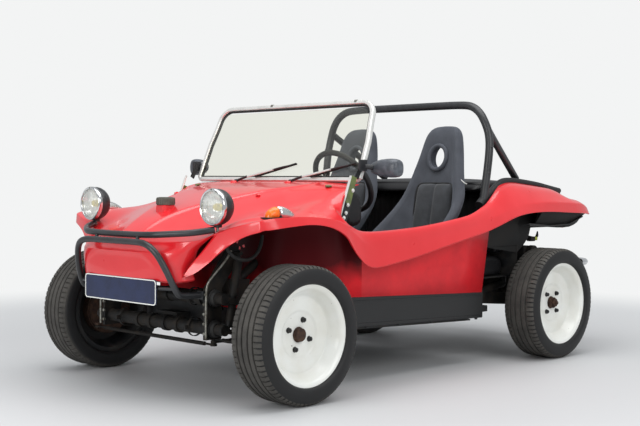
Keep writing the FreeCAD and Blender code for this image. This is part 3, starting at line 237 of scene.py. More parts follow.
# Brushed chassis paint: near black, half gloss, with dust that lies dull on it.
chassis_paint = weathered("Brushed chassis paint", "#15171A", "#35322E", 90, 4, (0.42, 0.75), 0.4)
# The sills are folded box sections in the same paint, cleaner because they show.
sill_paint = weathered("Satin black sill paint", "#131415", "#1E1F20", 160, 3, (0.38, 0.55), 0.2)
dress(chassis_paint, "floorpan", "rear_tub")


def block(mesh, place, bevel, profile=0.0):
    """A unit cube put in its place and size by a matrix, its edges eased by bevel mm."""
    made = bmesh.ops.create_cube(mesh, size=1)["verts"]
    bmesh.ops.transform(mesh, matrix=place, verts=made)
    edges = list({edge for vert in made for edge in vert.link_edges})
    bmesh.ops.bevel(mesh, geom=edges, offset=bevel * MM, segments=2, profile=profile, affect="EDGES")


def slab(mesh, low, high, bevel=2.0, tilt=Matrix.Identity(4)):
    """A block with eased edges between two corners in mm about the front axle."""
    low, high = front(*low), front(*high)
    size = Matrix.Diagonal((*map(abs, high - low), 1))
    block(mesh, Matrix.Translation((low + high) / 2) @ tilt @ size, bevel, 0.7)


def skin(mesh, rings, capped=False):
    """Joins closed rings of vertices, each with the same count, and fills both ends if they are capped."""
    for a, b in zip(rings, rings[1:]):
        for k in range(len(a)):
            mesh.faces.new((a[k - 1], a[k], b[k], b[k - 1]))
    if capped:
        mesh.faces.new(rings[0])
        mesh.faces.new(rings[-1][::-1])


def loft(mesh, rings, capped=True):
    """A skin over closed rings of points in mm."""
    made = [[mesh.verts.new(front(*place)) for place in ring] for ring in rings]
    skin(mesh, made, capped)
    return made


def rounded_path(points, times):
    """Cuts the corners of a route of points so that a pipe bends instead of kinking."""
    for _ in range(times):
        cut = [points[0]]
        for a, b in zip(points, points[1:]):
            cut += [a.lerp(b, 0.25), a.lerp(b, 0.75)]
        points = cut[:1] + cut[2:-1] + points[-1:]
    return points


def pipe(mesh, points, radius, sides=12, bends=2, taper=None):
    """A round bar along points in mm about the front axle, with closed ends."""
    points = rounded_path([front(*p) for p in points], bends)
    rings, across = [], None
    for i, place in enumerate(points):
        along = (points[min(i + 1, len(points) - 1)] - points[max(i - 1, 0)]).normalized()
        if across is None:
            across = along.orthogonal().normalized()
        across = (across - along * across.dot(along)).normalized()
        other = along.cross(across)
        r = (taper(i / (len(points) - 1)) if taper else radius) * MM
        rings.append([mesh.verts.new(place + (across * math.cos(t) + other * math.sin(t)) * r)
                      for t in (math.tau * k / sides for k in range(sides))])
    skin(mesh, rings, True)


def turned(mesh, profile, centre, way=(0, 1, 0), steps=40, closed=False):
    """Turns (radius, along) pairs in mm about an axis through centre, in mm; UV runs round and along."""
    way = Vector(way).normalized()
    across = way.orthogonal().normalized() if abs(way.x) > 0.5 else (Vector((1, 0, 0)) - way * way.x).normalized()
    other = way.cross(across)
    centre = front(*centre)
    uv = mesh.loops.layers.uv.verify()
    rings, run = [], [0.0]
    for (r0, h0), (r1, h1) in zip(profile, profile[1:]):
        run.append(run[-1] + math.hypot(r1 - r0, h1 - h0) * MM)
    for radius, along in profile:
        middle = centre + way * along * MM
        if radius < 0.01:
            rings.append([mesh.verts.new(middle)] * steps)
        else:
            rings.append([mesh.verts.new(middle + (across * math.cos(t) + other * math.sin(t)) * radius * MM)
                          for t in (math.tau * k / steps for k in range(steps))])
    if closed:
        rings[-1] = rings[0]
    for i, (a, b) in enumerate(zip(rings, rings[1:])):
        for k in range(steps):
            n = (k + 1) % steps
            corners = [(a[k], k, i), (a[n], k + 1, i), (b[n], k + 1, i + 1), (b[k], k, i + 1)]
            kept = [c for j, c in enumerate(corners) if c[0] is not corners[j - 1][0]]
            if len(kept) < 3:
                continue
            made = mesh.faces.new([c[0] for c in kept])
            for loop, (_, u, v) in zip(made.loops, kept):
                loop[uv].uv = (u / steps, run[v])


seams = bmesh.new()
for side in (1, -1):
    for low_z in (266, 371):
        slab(seams, (-1425, side * 596, low_z), (-440, side * 600, low_z + 7), 1.2,
             Matrix.Rotation(math.radians(-1.95), 4, "Y"))
piece("sill_beads", seams, sill_paint)

# ---------------------------------------------------------------------------
# Front axle: twin torsion tubes clamped between pressed end plates, trailing arms, king pin
# knuckles and dampers, all forged or welded steel in old black paint with oil and dust.
# ---------------------------------------------------------------------------
# Painted steel that sheds its paint: black, with rust-brown dust sticking to old grease.
axle_paint = weathered("Greasy axle paint", "#111111", "#2E2822", 45, 3, (0.5, 0.9), 0.5, Specular_IOR_Level=0.3)
# Sand-cast iron, bare and rusted brown by the road, rough all over.
cast_iron = weathered("Rusty cast iron", "#3A2A23", "#5B4334", 28, 2, (0.65, 0.9), 0.8, Metallic=0.35)
# Plated steel of pins, rod ends and nuts, dulled by weather but still catching the light.
zinc = weathered("Dull zinc plating", "#8C8B84", "#5E5A50", 18, 1.5, (0.35, 0.6), 0.2, Metallic=0.85)
# Oil-soaked natural rubber of boots and hoses: black and matt with a slight bloom.
boot_rubber = weathered("Boot rubber", "#131313", "#232220", 30, 2, (0.55, 0.75), 0.3)
dress(axle_paint, "front_beam", "front_arms", "front_dampers", "pitman_arm", "tie_rod_left", "tie_rod_right")
dress(cast_iron, "knuckle_left", "knuckle_right")


def repeated(name, mesh, coat, body, copies, step=(0, 0, 0), turn=(0, 0, 0), pivot=(0, 0, 0)):
    """Bakes copies of one small mesh, each a step on and a turn round the pivot from the last (mm, radians)."""
    tree = bpy.data.node_groups.new(name, "GeometryNodeTree")
    for label, kind, way in (("Geometry", "NodeSocketGeometry", "INPUT"), ("Copies", "NodeSocketInt", "INPUT"),
                             ("Step", "NodeSocketVector", "INPUT"), ("Turn", "NodeSocketVector", "INPUT"),
                             ("Pivot", "NodeSocketVector", "INPUT"), ("Geometry", "NodeSocketGeometry", "OUTPUT")):
        tree.interface.new_socket(label, in_out=way, socket_type=kind)
    given = add(tree, "NodeGroupInput").outputs
    back = add(tree, "ShaderNodeVectorMath", {0: given["Pivot"], "Scale": -1.0}, operation="SCALE")
    part = add(tree, "GeometryNodeTransform", {"Geometry": given["Geometry"], "Translation": back.outputs[0]})
    count = add(tree, "GeometryNodeInputIndex").outputs[0]
    moved = add(tree, "ShaderNodeVectorMath", {0: given["Step"], "Scale": count}, operation="SCALE")
    spun = add(tree, "ShaderNodeVectorMath", {0: given["Turn"], "Scale": count}, operation="SCALE")
    row = add(tree, "GeometryNodePoints", {"Count": given["Copies"], "Position": moved.outputs[0]})
    laid = add(tree, "GeometryNodeInstanceOnPoints", {"Points": row.outputs[0], "Instance": part.outputs[0],
                                                      "Rotation": spun.outputs[0]})
    placed = add(tree, "GeometryNodeTransform", {"Geometry": laid.outputs[0], "Translation": given["Pivot"]})
    solid = add(tree, "GeometryNodeRealizeInstances", {"Geometry": placed.outputs[0]})
    coated = add(tree, "GeometryNodeSetMaterial", {"Geometry": solid.outputs[0], "Material": coat})
    add(tree, "NodeGroupOutput", {"Geometry": coated.outputs[0]})
    bmesh.ops.recalc_face_normals(mesh, faces=mesh.faces)
    one = bpy.data.meshes.new(name)
    mesh.to_mesh(one)
    mesh.free()
    master = bpy.data.objects.new(name, one)
    bpy.context.scene.collection.objects.link(master)
    copier = master.modifiers.new(name, "NODES")
    copier.node_group = tree
    values = {"Copies": copies, "Step": Vector(step) * MM, "Turn": turn, "Pivot": front(*pivot)}
    for socket in tree.interface.items_tree:
        if socket.name in values:
            copier[socket.identifier] = values[socket.name]
    bpy.context.view_layer.update()
    baked = bpy.data.meshes.new_from_object(master.evaluated_get(bpy.context.evaluated_depsgraph_get()))
    bpy.data.objects.remove(master)
    return finished(name, baked, body)


def hex_bolt(mesh, centre, way, across=13, height=8):
    """A hexagon head on a washer, centre in mm."""
    turned(mesh, [(0, -1), (across * 0.72, -1), (across * 0.72, 1.5), (0, 1.5)], centre, way, 16)
    turned(mesh, [(0, 1.5), (across * 0.56, 1.5), (across * 0.56, height - 1), (across * 0.45, height), (0, height)],
           centre, way, 6)


# On each side: five bolts up the end plate, the trailing arms' rubber seals, the push bar's strap,
# the hose that runs up into the fender, and the clips round the torsion tubes.
for label, side in SIDES:
    bolt = bmesh.new()
    hex_bolt(bolt, (222, side * 366, 282), (1, 0, 0))
    repeated(f"plate_bolts_{label}", bolt, zinc, "chassis", 5, step=(0, 0, 42))
    link = bmesh.new()
    for z in (300, 433):
        turned(link, [(0, 0), (36, 0), (38, 3), (38, 9), (30, 12), (34, 16), (30, 20), (33, 24), (28, 28), (0, 28)],
               (180, side * 375, z), (0, side, 0), 24)
    piece(f"arm_seals_{label}", link, boot_rubber)
    strap = bmesh.new()
    pipe(strap, [(150, side * 452, 640), (165, side * 440, 600), (196, side * 402, 540), (224, side * 386, 500),
                 (230, side * 384, 460), (230, side * 384, 262)], 5.5, 10)
    piece(f"bumper_strap_{label}", strap, zinc)
    hose = bmesh.new()
    pipe(hose, [(196, side * 470, 668), (186, side * 470, 640), (150, side * 480, 606), (90, side * 486, 594),
                (30, side * 478, 614), (-8, side * 466, 655), (-20, side * 462, 700)], 8, 12, 3)
    piece(f"fender_hose_{label}", hose, boot_rubber)
    tube_clips = bmesh.new()
    for z, radius in ((433, 40), (300, 42)):
        turned(tube_clips, [(radius - 3, -6), (radius, -6), (radius, 6), (radius - 3, 6)], (180, side * 250, z),
               (0, 1, 0), 28)
        slab(tube_clips, (180 + radius - 6, side * 250 - 5, z - 9), (180 + radius + 16, side * 250 + 5, z + 9), 1)
    piece(f"tube_clips_{label}", tube_clips, axle_paint)

# A pressed cross panel closes the frame head behind the two torsion tubes.
frame_head = bmesh.new()
slab(frame_head, (58, -200, 296), (64, 170, 430), 3)
piece("frame_head_panel", frame_head, chassis_paint)

# ---------------------------------------------------------------------------
# Wheels: deep-dished steel rims, rolled and welded and painted off-white, radial road tyres
# and cast brake drums. Four nuts hold each rim to its drum; the hub's nose fills the hole.
# ---------------------------------------------------------------------------
# Tyre rubber: carbon black, dull, greyed by dust on the tread and darker on the sidewall.
rubber, shader = new_coat("Tyre rubber", IOR=1.5, Specular_IOR_Level=0.35)
tree = shader.id_data
# The UV runs once round the wheel in X and, in metres, across the tyre's section in Y.
split = add(tree, "ShaderNodeSeparateXYZ", {0: spread(shader, "UV")}).outputs
on_tread = maths("MULTIPLY", ramp(split["Y"], 0.108, 0.122), ramp(split["Y"], 0.318, 0.334, 1.0, 0.0))
dusty = maths("MULTIPLY", on_tread, noise(spread(shader), 14.0, 6.0, 0.7))
# Fine sipes across the ribs every 21 mm or so, and the faint mould rings of the sidewall.
across = add(tree, "ShaderNodeCombineXYZ", {"X": maths("MULTIPLY", split["X"], 86.0),
                                            "Y": maths("MULTIPLY", split["Y"], 60.0)})
sipes = add(tree, "ShaderNodeTexWave", {"Vector": across.outputs[0], "Scale": 0.318, "Distortion": 0.0},
            bands_direction="X", wave_profile="SIN")
slit = maths("MULTIPLY", ramp(sipes.outputs["Fac"], 0.93, 0.99, 1.0, 0.0), on_tread)
mould_rings = noise(add(tree, "ShaderNodeCombineXYZ", {"Y": split["Y"]}).outputs[0], 260.0, 2.0)
feed(shader, Base_Color=mixed(dusty, "#1B1B1C", "#5F5C57"), Roughness=ramp(on_tread, 0.0, 1.0, 0.52, 0.85),
     Normal=bump(maths("ADD", slit, mould_rings), 0.5, 0.0012))

# Wheel paint: brushed off-white enamel over steel, glossy, with fine brown chips.
wheel_paint, shader = new_coat("Wheel enamel", Roughness=0.28, IOR=1.5, Coat_Weight=0.35)
place = spread(shader)
stain = noise(place, 7.0, 5.0)
white = mixed(ramp(stain, 0.4, 0.7), "#ECEDE8", "#E2E1D8")
chips = ramp(noise(place, 70.0, 2.0), 0.755, 0.775)
feed(shader, Base_Color=mixed(chips, white, "#5A4436"), Normal=bump(stain, 0.12, 0.003))

# Sections as (radius, along the axle) in mm, from the wheel's middle plane outward.
SHOULDER = [(206, 72), (212, 77.5), (215.5, 83), (217.5, 88), (220.5, 92.5), (228, 97), (236, 98), (252, 97.4),
            (268, 94), (275, 91), (280, 88), (283, 85), (284.8, 82), (286.4, 78), (287.2, 70), (287.4, 56), (292.2, 54)]
tread_run = []
for groove in (47, 17, -17, -47):
    edge_radius = 293 - 0.9 * (abs(groove) / 47) ** 2
    tread_run += [(edge_radius, groove + 5), (edge_radius - 7.5, groove + 3.4), (edge_radius - 7.5, groove - 3.4),
                  (edge_radius, groove - 5)]
TYRE = SHOULDER + tread_run + [(radius, -along) for radius, along in reversed(SHOULDER)]
TYRE += [(222, -84), (262, -84), (278, -68), (278, 68), (262, 84), (222, 84), (206, 72)]
RIM = [(216.5, 77.5), (217, 80), (216, 82), (214, 82.5), (211, 81.8), (205, 79.6), (199, 76), (194, 71), (190.5, 64),
       (186, 54), (179, 44), (173, 35), (168.5, 27), (164.5, 22), (162, 21.1), (159, 21.2), (156, 21.5), (150, 21),
       (126, 20), (108, 19.8), (102, 18.8), (97, 14.5), (93, 13.8), (70, 14), (45, 14), (35.5, 13.6), (33, 12.5),
       (33, 9), (93, 9), (101, 14), (150, 15), (160, 14.5), (163.5, 13), (164, -22), (184, -54), (191, -80.5),
       (193, -82.3), (211, -82.3), (213.5, -80.5), (213.5, -77.5), (194, -77.2), (189.6, -54), (172, -22), (172, 24),
       (176.5, 33), (183.5, 45), (190.5, 55), (195.5, 65), (200, 73), (216.5, 77.5)]
# The off-white paint ends where the disc meets the barrel, this far out from the wheel's middle plane; inboard of it
# the rim is painted shade in black.
SHADE_BARREL_EDGE = 9
LUG_CIRCLE, LUG_TURN, LUGS = 65, {"front": 0.36, "rear": 0.78}, 4
# One shoulder block: its outline over the edge of the tread, and how many go round.
BLOCK, BLOCKS = ((292.4, 54), (292.5, 66), (291.4, 75), (288.2, 81.5), (280.5, 88.4)), 74
for name, side in (("front_left", 1), ("front_right", -1), ("rear_left", 1), ("rear_right", -1)):
    hub = spin_place[f"wheel_{name}_spin"]
    ahead, out, up = (hub.x - FRONT_AXLE) / MM, hub.y / MM, hub.z / MM
    centre, way, body = (ahead, out, up), (0, side, 0), f"wheel_{name}"
    casing = bmesh.new()
    turned(casing, TYRE, centre, way, 128, closed=True)
    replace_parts(piece(f"radial_{name}", casing, rubber, body), f"tyre_{name}")
    for edge, inward in (("outer", side), ("inner", -side)):
        lug, tops = bmesh.new(), []
        for radius, along in BLOCK:
            half = 9.4 if along < 80 else 8.2
            z = up + math.sqrt(radius ** 2 - half ** 2) + 0.35
            tops.append([lug.verts.new(front(ahead + a, out + inward * (along + 0.5), z)) for a in (-half, half)])
        roots = [[lug.verts.new(vert.co - Vector((0, inward * 1.6, 5)) * MM) for vert in row] for row in tops]
        for i, (a, b) in enumerate(zip(tops, tops[1:])):
            lug.faces.new((*a, *b[::-1]))
            for k in (0, 1):
                lug.faces.new((a[k], b[k], roots[i + 1][k], roots[i][k]))
        for i in (0, -1):
            lug.faces.new((*tops[i], *roots[i][::-1]))
        uv_layer = lug.loops.layers.uv.verify()
        for made in lug.faces:
            for loop in made.loops:
                loop[uv_layer].uv = (0.0, 0.13)
        repeated(f"tread_blocks_{edge}_{name}", lug, rubber, body, BLOCKS,
                 turn=(0, math.tau / BLOCKS, 0), pivot=centre)
    dish = bmesh.new()
    turned(dish, RIM, centre, way, 96, closed=True)
    # The barrel behind the disc and every face turned towards the car take the black chassis paint: painted shade for
    # the dark inside of the wheel.
    bmesh.ops.recalc_face_normals(dish, faces=dish.faces)
    for found in dish.faces:
        if side * (found.calc_center_median().y / MM - out) < SHADE_BARREL_EDGE or found.normal.y * side < -0.2:
            found.material_index = 1
    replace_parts(piece(f"dished_rim_{name}", dish, (wheel_paint, chassis_paint), body), f"rim_{name}")
    nut = bmesh.new()
    first = LUG_TURN[name.split("_")[0]]
    at = (ahead + LUG_CIRCLE * math.cos(first), out + side * 14, up + LUG_CIRCLE * math.sin(first))
    turned(nut, [(0, -3), (12.5, -3), (12.5, 0.5), (0, 0.5)], at, way, 20)
    turned(nut, [(0, 0), (10.5, 0), (10.5, 12), (8.5, 14), (5, 14), (5, 17), (0, 17.5)], at, way, 6)
    repeated(f"lug_nuts_{name}", nut, chassis_paint, body, LUGS,
             turn=(0, math.tau / LUGS, 0), pivot=centre)
    if "rear" in name:
        axle_nut = bmesh.new()
        turned(axle_nut, [(0, 28), (23, 28), (23, 42), (20, 45), (11, 45), (10, 54), (8, 56), (0, 56)], centre, way, 6)
        turned(axle_nut, [(0, 29), (28.5, 29), (28.5, 31.5), (0, 31.5)], centre, way, 24)
        piece(f"axle_nut_{name}", axle_nut, cast_iron, body)
    else:
        cap = bmesh.new()
        turned(cap, [(0, 10), (31.5, 10), (31.5, 15), (29, 18), (12, 19.5), (0, 20)], centre, way, 28)
        piece(f"grease_cap_{name}", cap, cast_iron, body)
    dress(cast_iron, f"drum_{name}")

# ---------------------------------------------------------------------------
# Rear axle, engine and exhaust: cast gearbox and finned cylinders in grey alloy, sheet steel
# cooling shroud in worn paint, silencer in rusty steel. They hang on the frame's rear fork.
# ---------------------------------------------------------------------------
# Sand-cast alloy, oily and grey, with a coarse grain and dark dirt in the low places.
alloy = weathered("Sand-cast alloy", "#6E6C66", "#33302B", 60, 2.5, (0.45, 0.75), 0.6, Metallic=0.7)
# Mild steel burnt blue-brown by heat and rusted in blotches, dull.
hot_steel = weathered("Heat-rusted steel", "#5A4A40", "#7A5238", 35, 2, (0.6, 0.85), 0.4, Metallic=0.55)
dress(axle_paint, "rear_axle")
dress(alloy, "engine")
dress(hot_steel, "exhaust")

for label, side in SIDES:
    # Eleven cooling fins round each bank of cylinders, and a pressed cover over the valves.
    fin = bmesh.new()
    slab(fin, (-2318, side * 150, 292), (-2046, side * 154, 438), 1)
    repeated(f"cylinder_fins_{label}", fin, alloy, "chassis", 11, step=(0, side * 17, 0))
    cover = bmesh.new()
    slab(cover, (-2325, side * 352, 308), (-2040, side * 408, 420), 14)
    slab(cover, (-2300, side * 404, 326), (-2065, side * 413, 402), 5)
    piece(f"valve_cover_{label}", cover, chassis_paint)

shroud = bmesh.new()
slab(shroud, (-2236, -268, 436), (-2094, 268, 642), 26)
turned(shroud, [(0, -74), (118, -74), (150, -58), (158, -20), (158, 40), (150, 66), (120, 72), (0, 72)],
       (-2165, 0, 640), (1, 0, 0), 48)
piece("cooling_shroud", shroud, chassis_paint)
fan = bmesh.new()
turned(fan, [(0, 0), (112, 0), (112, 6), (104, 12), (60, 12), (52, 22), (0, 24)], (-2240, 0, 640), (-1, 0, 0), 40)
turned(fan, [(0, 0), (88, 0), (90, 4), (82, 12), (90, 20), (88, 24), (0, 24)], (-2386, 0, 375), (-1, 0, 0), 40)
turned(fan, [(0, 0), (48, 0), (50, 4), (44, 10), (50, 16), (48, 20), (0, 20)], (-2376, 0, 640), (-1, 0, 0), 32)
for side in (1, -1):
    pipe(fan, [(-2390, side * 46, 642), (-2398, side * 84, 378)], 6, 8, 0)
piece("pulleys_and_belt", fan, boot_rubber)
carburettor = bmesh.new()
slab(carburettor, (-2085, -38, 700), (-2005, 38, 770), 8)
turned(carburettor, [(0, 0), (70, 0), (84, 8), (86, 42), (78, 54), (40, 58), (0, 60)], (-2046, 0, 772), (0, 0, 1), 36)
pipe(carburettor, [(-2046, 0, 705), (-2046, 0, 560), (-2046, 120, 520), (-2046, 300, 440)], 17)
pipe(carburettor, [(-2046, 0, 560), (-2046, -120, 520), (-2046, -300, 440)], 17)
piece("carburettor", carburettor, alloy)

# The wiring hangs behind the rear wheel; its nylon plug is moulded in a waxy yellow-green.
nylon = weathered("Yellow nylon plug", "#B9C23A", "#8F9A2C", 12, 1, (0.4, 0.5), 0.1)
loom, plug = bmesh.new(), bmesh.new()
for shift in (0, 9, 18):
    pipe(loom, [(-1870, 520, 668 - shift), (-1940, 545, 640 - shift * 1.5), (-2010, 552 - shift, 634),
                (-2018, 540, 668)], 3.2, 8, 3)
slab(plug, (-1994, 538, 620), (-1962, 558, 640), 4)
piece("wiring_loom", loom, boot_rubber)
piece("wiring_plug", plug, nylon)
bracket = bmesh.new()
slab(bracket, (-1966, 532, 616), (-1925, 562, 642), 5)
slab(bracket, (-1985, 470, 500), (-1880, 545, 590), 10)
turned(bracket, [(0, 0), (38, 0), (40, 6), (40, 30), (30, 40), (0, 42)], (-1935, 545, 555), (0, 1, 0), 28)
for ahead in (-1955, -1915):
    hex_bolt(bracket, (ahead, 546, 520), (0, 1, 0))
piece("rear_casting", bracket, axle_paint)

# ---------------------------------------------------------------------------
# Body shell: one hand-laid fibreglass moulding in glossy red gelcoat, about 4 mm thick,
# with hood, fenders, cockpit sides and tail in a single piece. It is bolted to the pan.
# ---------------------------------------------------------------------------
# Gelcoat is thick pigmented polyester: a deep even red under a hard shine that has dulled
# in places, with faint waves left by the mould.
gelcoat, shader = new_coat("Red gelcoat", Roughness=0.3, IOR=1.5, Coat_Weight=0.6, Coat_Roughness=0.08)
place = spread(shader)
faded = noise(place, 5.0, 4.0)
feed(shader, Base_Color=mixed(ramp(faded, 0.35, 0.7), "#D8141E", "#E0242C"), Roughness=ramp(faded, 0.0, 1.0, 0.22, 0.4),
     Normal=bump(noise(place, 9.0, 2.0), 0.08, 0.01))

# Half of the shell as rows across it. Each row gives the columns from the middle outwards:
# 0 middle, 1 and 2 the crease of the raised panel, 3, 4 the valley, 5, 6 the ridge,
# 7, 8, 9 the outer slope, 10 the belt's upper edge, 11 its lip, 12 the lip turned in.
NOSE = (
    # ahead, y, z of columns 0 to 5, and of the return behind the cheek, from the bottom up
    ((378, 0, 506), (378, 120, 506), (376, 262, 503), (362, 300, 502), (342, 325, 501), (312, 342, 503),
     (262, 340, 506)),
    ((402, 0, 516), (402, 120, 515), (392, 262, 512), (372, 302, 510), (345, 332, 509), (322, 354, 511),
     (262, 350, 514)),
    ((404, 0, 548), (404, 125, 547), (401, 258, 541), (388, 288, 540), (352, 326, 541), (332, 341, 548),
     (264, 338, 550)),
    ((405, 0, 590), (405, 130, 589), (403, 222, 580), (404, 260, 577), (376, 318, 576), (327, 349, 574),
     (266, 346, 576)),
    ((406, 0, 616), (406, 110, 615), (404, 160, 610), (410, 212, 610), (386, 315, 608), (318, 362, 604),
     (266, 358, 606)),
    ((413, 0, 628), (413, 85, 628), (411, 146, 628), (404, 222, 629), (377, 322, 631), (310, 371, 630),
     (264, 366, 631)),
    ((398, 0, 640), (398, 72, 640), (397, 110, 640), (389, 220, 641), (358, 330, 645), (300, 380, 648),
     (262, 376, 649)),
    ((379, 0, 655), (379, 68, 655), (378, 96, 655), (371, 214, 656), (340, 344, 661), (290, 395, 664),
     (258, 392, 664)),
)
FRONT_EDGE = (
    # the brow over the nose, then the edge that the belt hangs from: columns 0 to 12
    (372, 0, 674), (371, 66, 674), (370, 88, 673), (364, 205, 673), (330, 355, 677), (282, 408, 682), (238, 450, 710),
    (225, 498, 730), (212, 555, 746), (197, 612, 759), (180, 662, 770), (180, 668, 724), (171, 659, 725),
)
FRONT_LIP = ((233, 518, 658), (219, 546, 677), (208, 582, 697), (196, 624, 713))
FRONT_RETURN = ((224, 509, 657), (210, 537, 676), (199, 573, 697), (187, 615, 713))
LEAF = (
    # the belt runs on down beside the nose to a point: its upper edge, its lip, the lip turned in
    ((255, 420, 668), (251, 488, 628), (242, 479, 628)),
    ((275, 400, 629), (271, 454, 592), (262, 446, 593)),
    ((299, 385, 598), (293, 420, 561), (284, 413, 563)),
    ((317, 368, 565), (309, 396, 541), (301, 390, 544)),
    ((329, 355, 536), (332, 358, 528), (324, 354, 532)),
)
SWEEP = (0, 0, 0, 0.05, 0.3, 0.5, 0.75, 0.82, 0.9, 0.95, 1, 1, 1)
HOOD = (
    # ahead at the middle and at the belt; height at the middle; y, z of columns 1 to 12
    (345, 166, 703, 68, 702, 88, 697, 208, 692, 345, 689, 398, 695, 455, 728, 508, 747, 560, 756, 618, 765, 672, 775,
     679, 729, 670, 730),
    (300, 146, 733, 74, 731, 94, 722, 215, 709, 342, 698, 392, 706, 478, 752, 530, 762, 580, 763, 630, 769, 681, 779,
     689, 732, 680, 733),
    (250, 120, 765, 82, 763, 103, 752, 226, 727, 352, 709, 406, 719, 508, 778, 556, 776, 604, 768, 644, 772, 688, 782,
     697, 735, 688, 736),
    (190, 88, 793, 100, 790, 122, 778, 238, 750, 370, 722, 432, 738, 545, 786, 586, 782, 626, 773, 658, 773, 691, 784,
     703, 739, 694, 740),
    (120, 50, 820, 126, 816, 148, 803, 258, 779, 395, 748, 472, 764, 556, 792, 602, 788, 638, 775, 666, 775, 691, 785,
     704, 743, 695, 744),
    (50, -5, 840, 152, 835, 175, 822, 285, 800, 415, 772, 490, 784, 566, 797, 608, 792, 645, 777, 669, 776, 690, 786,
     705, 747, 696, 748),
    (-20, -60, 859, 192, 853, 215, 841, 315, 822, 427, 793, 500, 796, 570, 801, 610, 795, 648, 781, 672, 777, 690,
     786, 706, 751, 697, 752),
    (-100, -125, 879, 236, 873, 259, 861, 345, 843, 440, 807, 508, 804, 572, 806, 612, 798, 650, 785, 674, 777, 690,
     783, 706, 749, 697, 750),
    (-180, -190, 898, 269, 892, 291, 880, 370, 861, 452, 824, 515, 818, 574, 818, 614, 806, 651, 790, 675, 773, 690,
     777, 706, 740, 697, 741),
    (-250, -250, 909, 298, 903, 319, 893, 392, 876, 465, 842, 520, 836, 575, 836, 616, 818, 652, 795, 675, 765, 689,
     768, 706, 724, 697, 722),
    (-305, -305, 914, 320, 909, 339, 900, 410, 886, 475, 858, 526, 850, 575, 852, 618, 828, 654, 795, 675, 751, 689,
     749, 706, 692, 697, 691),
)
COWL = (
    # the part that turns up under the windscreen and ends at the cockpit opening
    ((-365, 0, 921), (-365, 342, 917), (-365, 360, 910), (-375, 425, 902), (-388, 482, 895), (-400, 528, 893),
     (-417, 583, 894), (-320, 636, 769), (-326, 660, 772), (-326, 677, 754), (-325, 689, 738), (-322, 706, 672),
     (-320, 697, 671)),
    ((-440, 0, 931), (-440, 358, 928), (-440, 374, 923), (-442, 436, 918), (-446, 488, 914), (-450, 532, 912),
     (-454, 574, 911)),
    ((-520, 0, 937), (-520, 372, 935), (-520, 388, 932), (-520, 446, 930), (-520, 492, 928), (-520, 534, 926),
     (-520, 570, 924)),
)
SIDE = (
    # ahead; y, z of columns 7 to 12 along the cockpit and over the rear wheel
    (-352, 650, 752, 664, 747, 680, 732, 690, 714, 706, 628, 697, 630),
    (-390, 655, 731, 668, 726, 681, 711, 690, 692, 706, 590, 697, 593),
    (-430, 657, 714, 671, 709, 682, 690, 690, 660, 706, 560, 697, 564),
    (-480, 659, 710, 673, 704, 682, 676, 690, 640, 706, 546, 697, 550),
    (-535, 660, 710, 674, 704, 683, 672, 689, 632, 705, 549, 696, 553),
    (-620, 661, 712, 675, 706, 684, 676, 688, 636, 705, 560, 696, 564),
    (-740, 662, 718, 676, 712, 685, 684, 688, 650, 704, 576, 695, 580),
    (-870, 662, 727, 676, 721, 685, 696, 688, 666, 703, 600, 694, 604),
    (-1004, 662, 741, 675, 735, 683, 711, 686, 684, 702, 625, 693, 629),
    (-1130, 661, 757, 673, 750, 681, 726, 684, 701, 700, 648, 691, 652),
    (-1225, 657, 769, 670, 761, 678, 739, 682, 716, 698, 665, 689, 669),
    (-1291, 651, 785, 665, 776, 675, 752, 680, 729, 696, 677, 687, 680),
    (-1361, 638, 808, 655, 797, 668, 771, 678, 744, 693, 691, 684, 694),
    (-1430, 619, 824, 642, 812, 661, 785, 676, 759, 691, 708, 682, 711),
    (-1500, 601, 864, 628, 850, 654, 808, 673, 777, 689, 727, 680, 730),
    (-1570, 583, 907, 613, 893, 647, 838, 669, 795, 687, 747, 678, 750),
    (-1630, 562, 930, 602, 918, 642, 858, 667, 810, 685, 762, 676, 764),
    (-1700, 538, 942, 597, 931, 640, 868, 667, 820, 684, 772, 675, 774),
    (-1790, 522, 941, 595, 930, 640, 869, 668, 828, 682, 779, 673, 781),
    (-1900, 518, 930, 595, 920, 640, 865, 669, 832, 680, 781, 671, 783),
    (-2020, 515, 920, 592, 911, 637, 860, 668, 832, 677, 778, 668, 780),
    (-2110, 512, 911, 589, 903, 633, 856, 665, 828, 674, 774, 665, 776),
    (-2190, 508, 902, 584, 870, 627, 854, 661, 826, 670, 771, 661, 773),
    (-2222, 506, 895, 579, 851, 623, 850, 659, 824, 668, 770, 659, 772),
    (-2275, 500, 882, 570, 847, 616, 846, 653, 821, 664, 768, 655, 770),
    (-2300, 495, 866, 564, 844, 611, 843, 649, 818, 660, 766, 651, 768),
    (-2335, 488, 842, 556, 840, 606, 837, 643, 814, 655, 764, 646, 766),
    (-2365, 478, 815, 548, 813, 596, 810, 630, 794, 642, 760, 633, 762),
)
# How much further back the fender's outer corner reaches than the middle of the tail.
TIP = {9: 8, 10: 20, 11: 26, 12: 20}
TAIL_TOP = (
    # the part of the tail between the fenders, joined to the last SIDE rows: ahead, height
    (-2020, 893), (-2110, 888), (-2190, 880), (-2222, 875), (-2275, 864), (-2300, 852), (-2335, 836), (-2365, 808),
)
TAIL_FACE = (
    # the tail's face below that: ahead, height, half width
    (-2372, 770, 545), (-2368, 715, 524), (-2356, 688, 506), (-2346, 680, 500),
)

# Points of the two halves nearer than this become one; the wall is as thick as the moulding, in metres.
MERGE, WALL_THICKNESS = 0.0004, 0.004
shell = bmesh.new()
crease = shell.edges.layers.float.new("crease_edge")
grid = {}


def mark(row, column, place):
    grid[row, column] = shell.verts.new(front(*place))


def face(*keys):
    corners = [grid[key] for key in keys if key in grid]
    if len(set(corners)) > 2 and len(corners) == len(keys) and not shell.faces.get(corners):
        shell.faces.new(corners)


